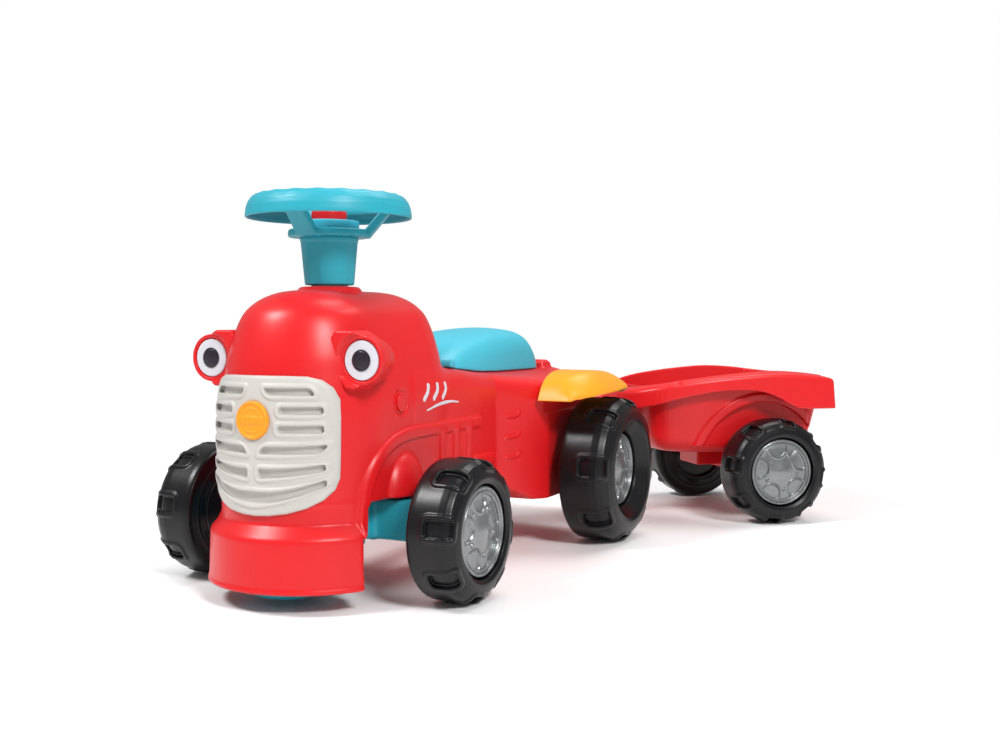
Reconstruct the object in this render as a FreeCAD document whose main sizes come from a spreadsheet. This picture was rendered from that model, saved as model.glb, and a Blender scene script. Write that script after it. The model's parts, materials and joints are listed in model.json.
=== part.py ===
"""Ride-on toy tractor with a hitched trailer.

Units are millimetres.  The tractor faces -Y, its own left side is +X and +Z is up.  The tractor is drawn with
the ground point under its front axle at (0, 0, 0), the trailer with its hitch pin on its own Z axis, and both
are then placed so that the origin of the part is the middle of its footprint on the ground.
"""

import FreeCAD
import Part
import math
import os

import Sketcher
from FreeCAD import Placement, Rotation, Vector

doc = FreeCAD.newDocument("ride_on_tractor")
sheet = doc.addObject("Spreadsheet::Sheet", "dims")

DIMENSIONS = {
    "origin_shift_x": -87.25,
    "origin_shift_y": -321.66,
    "wheelbase": 332.4,
    "wall": 3.0,
    "running_gap": 0.05,
    "axle_radius": 4.0,
    # wheels
    "small_wheel_radius": 65.0,
    "small_wheel_width": 48.0,
    "front_wheel_inner": 118.0,
    "big_wheel_radius": 82.3,
    "big_wheel_width": 60.0,
    "rear_wheel_inner": 121.0,
    "rim_recess_radius": 42.0,
    "hubcap_radius": 40.3,
    "hub_seat": 34.0,
    "hub_core_radius": 12.0,
    "tread_wall": 3.0,
    "lug_count": 8,
    "lug_depth": 3.0,
    "lug_half_width": 11.0,
    "clip_radius": 7.0,
    "clip_width": 3.4,
    # body
    "hood_radius": 81.0,
    "hood_front_axis": -30.0,
    "hood_rear_axis": 56.0,
    "hood_top": 279.0,
    "front_sill": 92.0,
    "rear_sill": 54.0,
    "sill_step_start": 130.0,
    "sill_step_end": 205.0,
    "sill_step_height": 70.0,
    "sill_rear_start": 245.0,
    "waist_front": 30.0,
    "deck_height": 196.0,
    "waist_half_width": 80.0,
    "box_half_width": 106.0,
    "flare_start": 195.0,
    "flare_end": 252.0,
    "body_rear": 398.0,
    "deck_round": 20.0,
    "deck_lip_half_width": 60.0,
    "deck_lip_front": 354.5,
    "deck_lip_rear": 382.0,
    "deck_lip_top": 204.0,
    "deck_lip_round": 8.0,
    "corner_round": 26.0,
    "collar_radius": 30.0,
    "collar_height": 3.5,
    "collar_taper": 4.0,
    "bumper_bottom": 18.0,
    "bumper_shoulder": 63.0,
    "bumper_radius": 94.0,
    "bumper_shoulder_radius": 90.0,
    "bumper_half_angle": 65.5,
    "bumper_shoulder_rise": 9.0,
    "grille_thickness": 4.0,
    "grille_half_width": 68.0,
    "grille_top": 203.0,
    "grille_bottom": 84.0,
    "grille_slot_depth": 2.4,
    "badge_radius": 16.7,
    "badge_height": 166.0,
    "lamp_x": 81.8,
    "lamp_y": -70.0,
    "lamp_z": 217.0,
    "lamp_radius": 21.5,
    "lamp_disc_radius": 17.3,
    "lamp_length": 46.0,
    "plug_radius": 9.0,
    "plug_y": -3.0,
    "plug_z": 177.0,
    # storage under the seat
    "bin_half_width": 50.0,
    "bin_front": 165.0,
    "bin_rear": 335.0,
    "bin_floor": 110.0,
    # seat
    "seat_hinge_y": 126.0,
    "seat_hinge_z": 206.0,
    "seat_pin_radius": 2.5,
    "seat_half_width": 60.0,
    "seat_rear": 352.0,
    "seat_front": 121.5,
    "seat_corner": 22.0,
    "seat_notch_half_width": 44.0,
    "seat_notch_rear": 152.0,
    "seat_ear_width": 8.0,
    # fender
    "fender_inner": 106.0,
    "fender_outer": 166.0,
    "fender_thickness": 4.0,
    "fender_lip_drop": 22.0,
    "fender_lip_bottom": 167.0,
    # steering
    "shaft_radius": 10.0,
    "shaft_bottom": 71.0,
    "bush_radius": 14.0,
    "column_bottom": 284.0,
    "column_top": 328.0,
    "column_bottom_radius": 22.8,
    "column_top_radius": 26.8,
    "hub_plate_radius": 38.0,
    "hub_plate_thickness": 6.0,
    "rim_radius": 77.0,
    "rim_inner_radius": 57.0,
    "rim_bottom": 344.0,
    "rim_top": 368.0,
    "spoke_half_width": 10.0,
    "horn_cup_radius": 28.0,
    "horn_cup_height": 9.5,
    "horn_radius": 16.6,
    "horn_top": 354.0,
    "cradle_half_length": 100.0,
    "cradle_half_width": 16.0,
    "cradle_top": 90.0,
    "cradle_bottom": 52.0,
    "skid_bottom": 7.0,
    "skid_top": 17.0,
    "skid_radius": 40.0,
    "skid_y": -64.0,
    "skid_lip": 8.0,
    "skid_plate_x": 24.0,
    "skid_plate_front": -70.0,
    "skid_plate_rear": 22.0,
    "cradle_middle_length": 58.0,
    "cradle_middle_width": 25.0,
    "cradle_boss_radius": 8.0,
    "cradle_boss_start": 70.0,
    "cradle_boss_reach": 8.0,
    "lock_pin_radius": 2.5,
    "lock_pin_height": 80.0,
    "shaft_wall": 2.5,
    # hitch and trailer
    "hitch_y": 430.0,
    "hitch_pin_radius": 6.0,
    "hitch_shelf_bottom": 128.0,
    "hitch_shelf_top": 138.0,
    "hitch_half_width": 24.0,
    "trailer_yaw": 47.9,
    "trailer_axle_y": 285.0,
    "trailer_wheel_inner": 96.8,
    "tub_bottom": 84.0,
    "tub_rim": 183.0,
    "skirt_bottom": 142.0,
    "rim_rear": 375.0,
    "rim_half_width": 121.0,
    "tub_half_width": 88.0,
    "tongue_half_width": 17.0,
    "tongue_bottom": 142.0,
    "tongue_top": 152.0,
    "tongue_rear": 130.0,
    "eye_bottom": 139.0,
    "eye_top": 158.0,
    "brace_half_width": 3.0,
    "brace_bottom": 122.0,
    "brace_rear": 134.0,
    "hitch_pin_top": 170.0,
    "hitch_pin_head": 3.0,
    "bracket_half_width": 90.0,
    "bracket_half_length": 24.0,
    "bracket_bottom": 57.0,
    "keel_half_width": 28.0,
    "keel_front": 225.0,
    "keel_rear": 330.0,
    "keel_bottom": 62.0,
    "trailer_boss_radius": 9.0,
    "screw_x": 60.0,
    "screw_step": 15.0,
    "screw_boss_half": 5.0,
    "screw_boss_bottom": 68.0,
    "screw_radius": 1.9,
    "screw_head_radius": 3.6,
    "screw_head_height": 2.55,
}

for row, (alias, value) in enumerate(DIMENSIONS.items(), start=1):
    sheet.set(f"A{row}", alias)
    sheet.set(f"B{row}", str(value))
    sheet.setAlias(f"B{row}", alias)
doc.recompute()

parts = []


def size(expression):
    """Value of an expression over the sheet, such as "dims.wheelbase / 2"."""
    return float(sheet.evalExpression(expression))


def cell(alias):
    return float(sheet.get(alias))


WALL = cell("wall")
PART_SPAN = 300.0
HITCH = Vector(0, cell("hitch_y"), 0)
ORIGIN_SHIFT = Placement(Vector(cell("origin_shift_x"), cell("origin_shift_y"), 0), Rotation())
TRAILER_PLACE = ORIGIN_SHIFT * Placement(HITCH, Rotation(Vector(0, 0, 1), -cell("trailer_yaw")))


def finish_part(item, label, own=None, trailer=False):
    """Labels a sub-part and places it: its own placement, then the tractor's or the trailer's."""
    item.Label = label
    base = TRAILER_PLACE if trailer else ORIGIN_SHIFT
    item.Placement = base * (own or Placement())
    parts.append(item)
    return item


def at(x, y, z, axis=None, angle=0.0):
    return Placement(Vector(x, y, z), Rotation(axis or Vector(0, 0, 1), angle))


# --- sketches and PartDesign bodies -----------------------------------------------------------------------


def plane(body, role):
    return next(f for f in body.Origin.OriginFeatures if f.Role == role)


def outline_sketch(body, name, role, points):
    """Closed polygon whose corners are (expression, expression), each bound to the sheet."""
    sketch = body.newObject("Sketcher::SketchObject", name)
    sketch.AttachmentSupport = [(plane(body, role), "")]
    sketch.MapMode = "FlatFace"
    corners = [Vector(size(u), size(v), 0) for u, v in points]
    count = len(corners)
    for index in range(count):
        sketch.addGeometry(Part.LineSegment(corners[index], corners[(index + 1) % count]), False)
    for index in range(count):
        following = (index + 1) % count
        sketch.addConstraint(Sketcher.Constraint("Coincident", index, 2, following, 1))
    for index, (u, v) in enumerate(points):
        for kind, expression in (("DistanceX", u), ("DistanceY", v)):
            number = sketch.addConstraint(
                Sketcher.Constraint(kind, -1, 1, index, 1, size(expression))
            )
            sketch.setExpression(f"Constraints[{number}]", expression)
    return sketch


def circle_sketch(body, name, role, radius, u="0", v="0"):
    sketch = body.newObject("Sketcher::SketchObject", name)
    sketch.AttachmentSupport = [(plane(body, role), "")]
    sketch.MapMode = "FlatFace"
    sketch.addGeometry(Part.Circle(Vector(size(u), size(v), 0), Vector(0, 0, 1), size(radius)), False)
    for kind, expression in (("DistanceX", u), ("DistanceY", v)):
        number = sketch.addConstraint(Sketcher.Constraint(kind, -1, 1, 0, 3, size(expression)))
        sketch.setExpression(f"Constraints[{number}]", expression)
    number = sketch.addConstraint(Sketcher.Constraint("Radius", 0, size(radius)))
    sketch.setExpression(f"Constraints[{number}]", radius)
    return sketch


def turned_body(name, points, role="XY_Plane", axis="H_Axis"):
    """Body turned from a profile: (along, radius) about X, or (radius, height) about Z."""
    body = doc.addObject("PartDesign::Body", name)
    sketch = outline_sketch(body, f"{name}_profile", role, points)
    turn = body.newObject("PartDesign::Revolution", f"{name}_turn")
    turn.Profile = sketch
    turn.ReferenceAxis = (sketch, [axis])
    turn.Angle = 360
    sketch.Visibility = False
    return body


def upright_body(name, points):
    return turned_body(name, points, "XZ_Plane", "V_Axis")


def cut_groove(body, name, points, role="XY_Plane", axis="H_Axis"):
    sketch = outline_sketch(body, f"{name}_profile", role, points)
    groove = body.newObject("PartDesign::Groove", name)
    groove.Profile = sketch
    groove.ReferenceAxis = (sketch, [axis])
    groove.Angle = 360
    return groove


# --- Part helpers -----------------------------------------------------------------------------------------


def bound(kind, name, **expressions):
    item = doc.addObject(kind, name)
    for prop, expression in expressions.items():
        item.setExpression(prop, expression)
    return item


def box(x0, x1, y0, y1, z0, z1):
    return Part.makeBox(x1 - x0, y1 - y0, z1 - z0, Vector(x0, y0, z0))


def cylinder(radius, start, end):
    way = end.sub(start)
    return Part.makeCylinder(radius, way.Length, start, way)


def plan_face(points, z):
    corners = [Vector(x, y, z) for x, y in points]
    return Part.Face(Part.makePolygon(corners + corners[:1]))


def side_face(points, x):
    corners = [Vector(x, y, z) for y, z in points]
    return Part.Face(Part.makePolygon(corners + corners[:1]))


def mirrored_outline(half):
    """Whole outline from the +X half, listed from the front to the rear."""
    return [(x, y) for x, y in half] + [(-x, y) for x, y in reversed(half)]


def upright_edges(solid):
    def vertical(edge):
        first, last = edge.Vertexes[0].Point, edge.Vertexes[-1].Point
        return math.hypot(first.x - last.x, first.y - last.y) < 1e-6 and abs(first.z - last.z) > 1.0

    return [edge for edge in solid.Edges if vertical(edge)]


def top_edges(solid, z):
    return [edge for edge in solid.Edges if all(abs(v.Point.z - z) < 1e-6 for v in edge.Vertexes)]


def feature(name, shape, **place):
    item = doc.addObject("Part::Feature", name)
    item.Shape = shape
    return finish_part(item, name, **place)


def mirror_x(shape):
    return shape.mirror(Vector(0, 0, 0), Vector(1, 0, 0))


# --- hood and body shell ----------------------------------------------------------------------------------

# Radius of the hood at each share of the way from the shoulder to the crown, and how much of the full radius.
HOOD_SHOULDER = 166.0
HOOD_STEPS = (
    (166.0, 1.0),
    (205.0, 0.944),
    (219.0, 0.915),
    (242.0, 0.827),
    (256.0, 0.745),
    (265.0, 0.630),
    (274.0, 0.420),
)


def hood_profile(inset, bottom):
    """Half section of the hood in the XZ plane, from its axis out to its side."""
    full = cell("hood_radius")
    crown = cell("hood_top") - inset
    rise = (crown - HOOD_SHOULDER) / (cell("hood_top") - HOOD_SHOULDER)
    shrink = (full - inset) / full
    curve = []
    for z, share in HOOD_STEPS:
        curve.append(Vector(full * share * shrink, 0, HOOD_SHOULDER + (z - HOOD_SHOULDER) * rise))
    curve.append(Vector(0, 0, crown))
    spline = Part.BSplineCurve()
    spline.interpolate(Points=curve, InitialTangent=Vector(0, 0, 1), FinalTangent=Vector(-1, 0, 0))
    corner = Vector(full - inset, 0, bottom)
    foot = Vector(0, 0, bottom)
    edges = [
        Part.makeLine(foot, corner),
        Part.makeLine(corner, curve[0]),
        spline.toShape(),
        Part.makeLine(curve[-1], foot),
    ]
    return Part.Face(Part.Wire(edges))


def hood_solid(inset, bottom):
    face = hood_profile(inset, bottom)
    front = cell("hood_front_axis")
    rear = cell("hood_rear_axis")
    up = Vector(0, 0, 1)
    round_nose = face.revolve(Vector(0, 0, 0), up, 360)
    nose = round_nose.translated(Vector(0, front, 0))
    tail = round_nose.translated(Vector(0, rear, 0))
    half = face.translated(Vector(0, front, 0)).extrude(Vector(0, rear - front, 0))
    return nose.fuse([tail, half, mirror_x(half)]).removeSplitter()


def deck_solid(inset):
    """Waist and rear box behind the hood, with the stepped sill cut along its lower edge."""
    waist = cell("waist_half_width") - inset
    wide = cell("box_half_width") - inset
    start = cell("flare_start")
    end = cell("flare_end")
    rear = cell("body_rear") - inset
    front = cell("waist_front")
    half = [(waist, front), (waist, start), (wide, end), (wide, rear)]
    bottom = cell("rear_sill") + inset
    top = cell("deck_height") - inset
    block = plan_face(mirrored_outline(half), bottom).extrude(Vector(0, 0, top - bottom))
    corners = [e for e in upright_edges(block) if e.Vertexes[0].Point.y > rear - 1]
    block = block.makeFillet(cell("corner_round") - inset, corners)
    rim = [e for e in top_edges(block, top) if e.CenterOfMass.y > front + 1]
    block = block.makeFillet(cell("deck_round") - inset, rim)
    sill = cell("front_sill") + inset
    below = bottom - 20
    step_end = cell("sill_step_end")
    step_height = cell("sill_step_height") + inset
    level = cell("sill_rear_start")
    under = [(0, below), (0, sill), (cell("sill_step_start"), sill), (step_end, step_height), (level, bottom)]
    under.append((level, below))
    cutter = side_face(under, -PART_SPAN / 2).extrude(Vector(PART_SPAN, 0, 0))
    return block.cut(cutter)


def deck_lip(inset):
    """Low rounded rise across the deck, just behind the seat."""
    half = cell("deck_lip_half_width") - inset
    front = cell("deck_lip_front") + inset
    rear = cell("deck_lip_rear") - inset
    top = cell("deck_lip_top") - inset
    block = box(-half, half, front, rear, cell("deck_height") - 20, top)
    soft = cell("deck_lip_round") - inset
    block = block.makeFillet(soft, upright_edges(block))
    return block.makeFillet(soft - 1, top_edges(block, top))


def bumper_skirt():
    """Flared skirt under the nose: a ring section turned about the nose's upright axis."""
    sill = cell("front_sill")
    full = cell("hood_radius")
    shoulder = cell("bumper_shoulder")
    bottom = cell("bumper_bottom")
    root = (full, sill + 1)
    neck = (full, shoulder + cell("bumper_shoulder_rise"))
    outer = [root, neck, (cell("bumper_shoulder_radius"), shoulder), (cell("bumper_radius"), bottom)]
    inner = [(r - WALL, z) for r, z in reversed(outer)]
    corners = [Vector(0, -r, z) for r, z in outer + inner]
    section = Part.Face(Part.makePolygon(corners + corners[:1]))
    sweep = cell("bumper_half_angle")
    section.rotate(Vector(0, 0, 0), Vector(0, 0, 1), -sweep)
    skirt = section.revolve(Vector(0, 0, 0), Vector(0, 0, 1), 2 * sweep)
    return skirt.translated(Vector(0, cell("hood_front_axis"), 0))


def body_shell():
    sill = cell("front_sill")
    outer = hood_solid(0, sill).fuse([deck_solid(0), deck_lip(0)])
    inner = hood_solid(WALL, sill + WALL).fuse([deck_solid(WALL), deck_lip(WALL)])
    taper = cell("collar_taper")
    collar_foot = Vector(0, 0, cell("hood_top") - taper)
    collar_radius = cell("collar_radius")
    collar = Part.makeCone(collar_radius, collar_radius - taper, cell("collar_height") + taper, collar_foot)
    shell = outer.fuse([collar, bumper_skirt()]).cut(inner)
    bin_w = cell("bin_half_width")
    front = cell("bin_front")
    rear = cell("bin_rear")
    floor = cell("bin_floor")
    deck = cell("deck_height")
    bin_box = box(-bin_w - WALL, bin_w + WALL, front - WALL, rear + WALL, floor - WALL, deck - 1)
    shell = shell.fuse(bin_box).cut(box(-bin_w, bin_w, front, rear, floor, deck + 5))
    # hitch shelf behind the rear wall
    low = cell("hitch_shelf_bottom")
    high = cell("hitch_shelf_top")
    half = cell("hitch_half_width")
    shelf = box(-half, half, cell("body_rear") - WALL, HITCH.y, low, high)
    shelf = shelf.fuse(cylinder(half, Vector(0, HITCH.y, low), Vector(0, HITCH.y, high)))
    shell = shell.fuse(shelf)
    # bushes for the steering shaft, and holes for the rear axle, the hitch pin and the seat pins
    bush = cell("bush_radius")
    axle = cell("axle_radius")
    half_box = cell("box_half_width") + 1
    axle_line = (cell("wheelbase"), cell("big_wheel_radius"))
    pin_line = (cell("seat_hinge_y"), cell("seat_hinge_z"))
    pin_reach = cell("seat_half_width") + 2
    crown = cell("hood_top")
    holes = [
        cylinder(bush, Vector(0, 0, sill - 5), Vector(0, 0, sill + WALL + 5)),
        cylinder(bush, Vector(0, 0, crown - 10), Vector(0, 0, crown + 20)),
        cylinder(axle, Vector(-half_box, *axle_line), Vector(half_box, *axle_line)),
        cylinder(cell("hitch_pin_radius"), Vector(0, HITCH.y, low - 1), Vector(0, HITCH.y, high + 1)),
        cylinder(cell("seat_pin_radius"), Vector(-pin_reach, *pin_line), Vector(pin_reach, *pin_line)),
    ]
    return shell.cut(Part.makeCompound(holes)).removeSplitter()


hood_outer = hood_solid(0, cell("front_sill"))
feature("body_shell", body_shell())


def shaft_bushes():
    """Two flanged bushes that guide the steering shaft, one in the floor and one in the collar."""
    bush = cell("bush_radius")
    bore = cell("shaft_radius") + cell("running_gap")
    floor = cell("front_sill")
    crown = cell("hood_top") + cell("collar_height")
    bushes = []
    for low, high, flange_low in ((floor - 0.1, floor + WALL + 1, floor - 1.1), (crown - 9, crown, crown)):
        sleeve = cylinder(bush, Vector(0, 0, low), Vector(0, 0, high))
        flange = cylinder(bush + 3, Vector(0, 0, flange_low), Vector(0, 0, flange_low + 1.0))
        hole = cylinder(bore, Vector(0, 0, low - 5), Vector(0, 0, high + 5))
        bushes.append(sleeve.fuse(flange).cut(hole))
    return Part.makeCompound(bushes)


feature("steering_bushes", shaft_bushes())


# --- grille, badge, lamps and side plugs ------------------------------------------------------------------

GRILLE_ROWS = 6
GRILLE_ROW_PITCH = 16.6
GRILLE_SLOT_HEIGHT = 9.0


def grille():
    """Slotted mask that follows the nose; its outline is cut from the front."""
    thick = cell("grille_thickness")
    top = cell("grille_top")
    bottom = cell("grille_bottom")
    half = cell("grille_half_width")
    face = hood_profile(-thick, bottom)
    skin = face.revolve(Vector(0, 0, 0), Vector(0, 0, 1), 360)
    skin = skin.translated(Vector(0, cell("hood_front_axis"), 0))
    right = [(half - 24, bottom + 8), (half - 4, bottom + 26), (half, top - 60)]
    right += [(half - 4, top - 16), (half - 20, top)]
    outline = [(0, bottom)] + right + [(-x, z) for x, z in reversed(right)]
    ahead = cell("hood_front_axis") - PART_SPAN / 2
    corners = [Vector(x, ahead, z) for x, z in outline]
    mask = Part.Face(Part.makePolygon(corners + corners[:1])).extrude(Vector(0, PART_SPAN / 2, 0))
    skin = skin.common(mask).cut(hood_solid(0, bottom - 12))
    slot_face = hood_profile(-thick - 2, bottom - 5)
    slot_floor = hood_profile(-thick + cell("grille_slot_depth"), bottom - 5)
    ring = slot_face.cut(slot_floor).revolve(Vector(0, 0, 0), Vector(0, 0, 1), 360)
    ring = ring.translated(Vector(0, cell("hood_front_axis"), 0))
    slots = []
    first = top - 12
    for row in range(GRILLE_ROWS):
        z = first - row * GRILLE_ROW_PITCH
        reach = half - 10 - 1.5 * row
        inner = cell("badge_radius") + 6 if row in (1, 2) else 8.0
        for side in (-1, 1):
            x0, x1 = sorted((side * inner, side * reach))
            slots.append(box(x0, x1, ahead, ahead + PART_SPAN / 2 - 10, z - GRILLE_SLOT_HEIGHT, z))
    return skin.cut(Part.makeCompound(slots).common(ring))


feature("front_grille", grille())
nose_y = cell("hood_front_axis") - cell("hood_radius") - cell("grille_thickness")


def badge():
    """Plain embossed disc on the middle of the grille."""
    body = upright_body(
        "badge_body",
        [("0", "0"), ("dims.badge_radius", "0"), ("dims.badge_radius", "2.4"),
         ("dims.badge_radius - 1.5", "3.2"), ("dims.badge_radius - 3.5", "2.2"), ("0", "2.2")],
    )
    place = at(0, nose_y - 0.02, cell("badge_height"), Vector(1, 0, 0), 90)
    return finish_part(body, "grille_badge", own=place)


badge()


def lamp_pod(side):
    """Tapered lamp housing on the cheek, cut to the hood, with a seat for its disc."""
    x = side * cell("lamp_x")
    y = cell("lamp_y")
    z = cell("lamp_z")
    radius = cell("lamp_radius")
    front = Vector(x, y - 3, z)
    pod = Part.makeCone(radius, radius * 0.72, cell("lamp_length"), front, Vector(0, 1, 0))
    seat = cylinder(cell("lamp_disc_radius") + 0.2, Vector(x, y - 4, z), Vector(x, y + 0.5, z))
    pod = pod.cut(seat).cut(hood_outer)
    return max(pod.Solids, key=lambda solid: solid.Volume)


for side, name in ((1, "left"), (-1, "right")):
    feature(f"lamp_housing_{name}", lamp_pod(side))

for side, name in ((1, "left"), (-1, "right")):
    disc = upright_body(
        f"lamp_disc_body_{name}",
        [("0", "0"), ("dims.lamp_disc_radius", "0"), ("dims.lamp_disc_radius", "1.0"), ("0", "1.8")],
    )
    place = at(side * cell("lamp_x"), cell("lamp_y") + 0.4, cell("lamp_z"), Vector(1, 0, 0), 90)
    finish_part(disc, f"lamp_disc_{name}", own=place)

for side, name in ((1, "left"), (-1, "right")):
    plug_line = (cell("plug_y"), cell("plug_z"))
    outer = Vector(side * (cell("hood_radius") + 1.5), *plug_line)
    inner = Vector(side * (cell("hood_radius") - 12), *plug_line)
    plug = cylinder(cell("plug_radius"), inner, outer)
    feature(f"side_plug_{name}", max(plug.cut(hood_outer).Solids, key=lambda solid: solid.Volume))


# --- rear fenders -----------------------------------------------------------------------------------------

FENDER_CROWN = ((236.0, 168.0), (248.0, 181.0), (264.0, 190.5), (300.0, 195.0), (340.0, 192.0), (362.0, 186.0),
                (380.0, 174.0))
FENDER_FRONT = 232.0
FENDER_REAR = 380.0


def fender_sheet(drop):
    """Crowned band over the wheel that reaches the given depth below its crown."""
    inner = cell("fender_inner")
    low = [(y, z - drop) for y, z in reversed(FENDER_CROWN)]
    return side_face(list(FENDER_CROWN) + low, inner).extrude(Vector(cell("fender_outer") - inner, 0, 0))


def fender_outline(inset):
    """Upright block with the fender's outline in plan; its outer edge is drawn in by the inset."""
    inner = cell("fender_inner")
    outer = cell("fender_outer") - inset
    sweep = [(outer - 22, FENDER_FRONT), (outer - 6, FENDER_FRONT + 36), (outer, FENDER_FRONT + 72)]
    tail = [(outer, FENDER_REAR - 35), (outer - 14, FENDER_REAR)]
    corners = [Vector(x, y, 0) for x, y in [(inner - 1, FENDER_FRONT)] + sweep + tail + [(inner - 1, FENDER_REAR)]]
    return Part.Face(Part.makePolygon(corners + corners[:1])).extrude(Vector(0, 0, 260))


def fender(side):
    thick = cell("fender_thickness")
    plate = fender_sheet(thick).common(fender_outline(0))
    lip = fender_sheet(cell("fender_lip_drop")).common(fender_outline(0).cut(fender_outline(thick)))
    lip = lip.cut(box(0, PART_SPAN, FENDER_FRONT - 5, FENDER_REAR + 5, 0, cell("fender_lip_bottom")))
    plate = plate.fuse(lip).removeSplitter()
    return plate if side > 0 else mirror_x(plate)


for side, name in ((1, "left"), (-1, "right")):
    feature(f"rear_fender_{name}", fender(side))


# --- wheels -----------------------------------------------------------------------------------------------


def wheel_profile(radius, width, dished):
    """Section of a blow-moulded wheel, along its axle and out from it."""
    bore = "dims.axle_radius + dims.running_gap"
    inner = [("4", bore), ("4", f"{radius} * 0.5"), ("0", f"{radius} * 0.56"), ("0", f"{radius} - 8"),
             ("4", f"{radius} - 2"), ("11", radius)]
    seat = "dims.hub_seat"
    if dished:
        outer = [(f"{width} - 20", radius), (f"{width} - 9", f"{radius} - 4"),
                 (f"{width} - 3", f"{radius} - 13"), (width, f"{radius} - 22"), (width, f"{radius} - 27"),
                 (f"{width} - 14", "dims.rim_recess_radius")]
    else:
        outer = [(f"{width} - 12", radius), (f"{width} - 4", f"{radius} - 4"), (width, f"{radius} - 11"),
                 (width, f"{radius} - 16"), (f"{width} - 4", f"{radius} - 20"),
                 (f"{width} - 4.5", "dims.rim_recess_radius")]
    hub = [(seat, "dims.rim_recess_radius"), (seat, bore)]
    return inner + outer + hub


def wheel_cavity(radius, width, dished):
    skin = "dims.tread_wall"
    rim = "dims.rim_recess_radius + dims.tread_wall"
    inner = [(f"4 + {skin}", "dims.hub_core_radius"), (f"4 + {skin}", f"{radius} - 8"),
             ("11", f"{radius} - {skin} - 3")]
    shoulder = f"{radius} - 22" if dished else f"{radius} - 14"
    last = (f"{width} - 18", rim) if dished else (f"{width} - 8", rim)
    outer = [(f"{width} - 22", f"{radius} - {skin} - 3"), (f"{width} - 8", shoulder), last]
    hub = [(f"dims.hub_seat - {skin}", rim), (f"dims.hub_seat - {skin}", "dims.hub_core_radius")]
    return inner + outer + hub


def wheel(name, radius, width, dished, place, trailer=False):
    """Hollow wheel with a vent in its inner face and eight pockets on its outer shoulder."""
    body = turned_body(f"{name}_body", wheel_profile(radius, width, dished))
    cut_groove(body, f"{name}_cavity", wheel_cavity(radius, width, dished))
    vent = circle_sketch(body, f"{name}_vent_sketch", "YZ_Plane", "2", f"{radius} * 0.66", "0")
    hole = body.newObject("PartDesign::Pocket", f"{name}_vent")
    hole.Profile = vent
    hole.Length = 12
    hole.Reversed = True
    lug = outline_sketch(
        body, f"{name}_lug_sketch", "YZ_Plane",
        [("-dims.lug_half_width", f"{radius} + 4"), ("-dims.lug_half_width", f"{radius} - 1"),
         ("-dims.lug_half_width + 4", f"{radius} - dims.lug_depth"),
         ("dims.lug_half_width - 4", f"{radius} - dims.lug_depth"),
         ("dims.lug_half_width", f"{radius} - 1"), ("dims.lug_half_width", f"{radius} + 4")],
    )
    lug.AttachmentOffset = Placement(Vector(0, 0, size(f"{width} - 24")), Rotation())
    notch = body.newObject("PartDesign::Pocket", f"{name}_lug")
    notch.Profile = lug
    notch.Reversed = True
    notch.setExpression("Length", f"{width}")
    doc.recompute()
    pattern = body.newObject("PartDesign::PolarPattern", f"{name}_lugs")
    pattern.Originals = [notch]
    pattern.Axis = (plane(body, "X_Axis"), "")
    pattern.Angle = 360
    pattern.setExpression("Occurrences", "dims.lug_count")
    body.Tip = pattern
    return finish_part(body, name, own=place, trailer=trailer)


def hubcap(name, place, trailer=False):
    """Domed cap that covers the axle end and its clip."""
    seat = "dims.hub_seat"
    body = turned_body(
        f"{name}_body",
        [(f"{seat} + 12.5", "0"), (f"{seat} + 11.5", "10"), (f"{seat} + 9", "16"), (f"{seat} + 8", "20"),
         (f"{seat} + 7.5", "33"), (f"{seat} + 10.3", "36"), (f"{seat} + 10.3", "dims.hubcap_radius"),
         (f"{seat} + 0.2", "dims.hubcap_radius"), (f"{seat} + 0.2", "36"), (f"{seat} + 4.5", "33"),
         (f"{seat} + 4.5", "15"), (f"{seat} + 8", "9"), (f"{seat} + 8", "0")],
    )
    return finish_part(body, name, own=place, trailer=trailer)


def clips(name, inner, line_y, line_z, trailer=False):
    """Push-on clips, one on each end of an axle."""
    pair = []
    seat = inner + cell("hub_seat") + 0.4
    for side in (-1, 1):
        start = Vector(side * seat, line_y, line_z)
        end = Vector(side * (seat + cell("clip_width")), line_y, line_z)
        pair.append(cylinder(cell("clip_radius"), start, end).cut(cylinder(cell("axle_radius"), start, end)))
    feature(name, Part.makeCompound(pair), trailer=trailer)


def axle(name, inner, line_y, line_z, trailer=False):
    """Steel rod through both wheels."""
    rod = bound("Part::Cylinder", f"{name}_rod", Radius="dims.axle_radius",
                Height=f"2 * (dims.{inner} + dims.hub_seat + dims.clip_width + 1.2)")
    half = size(f"dims.{inner} + dims.hub_seat + dims.clip_width + 1.2")
    own = at(-half, line_y, line_z, Vector(0, 1, 0), 90)
    finish_part(rod, name, own=own, trailer=trailer)


SMALL = ("dims.small_wheel_radius", "dims.small_wheel_width", False)
BIG = ("dims.big_wheel_radius", "dims.big_wheel_width", True)
AXLES = (
    ("front", "front_wheel_inner", 0.0, cell("small_wheel_radius"), SMALL, False),
    ("rear", "rear_wheel_inner", cell("wheelbase"), cell("big_wheel_radius"), BIG, False),
    ("trailer", "trailer_wheel_inner", cell("trailer_axle_y"), cell("small_wheel_radius"), SMALL, True),
)
for prefix, inner, line_y, line_z, kind, towed in AXLES:
    for side, name in ((1, "left"), (-1, "right")):
        turn = 0 if side > 0 else 180
        place = at(side * cell(inner), line_y, line_z, Vector(0, 0, 1), turn)
        wheel(f"{prefix}_{name}_wheel", *kind, place, towed)
        hubcap(f"{prefix}_{name}_hubcap", place, towed)
    axle(f"{prefix}_axle", inner, line_y, line_z, towed)
    clips(f"{prefix}_axle_clips", cell(inner), line_y, line_z, towed)


SPACER_RADIUS = 9.0


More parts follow.
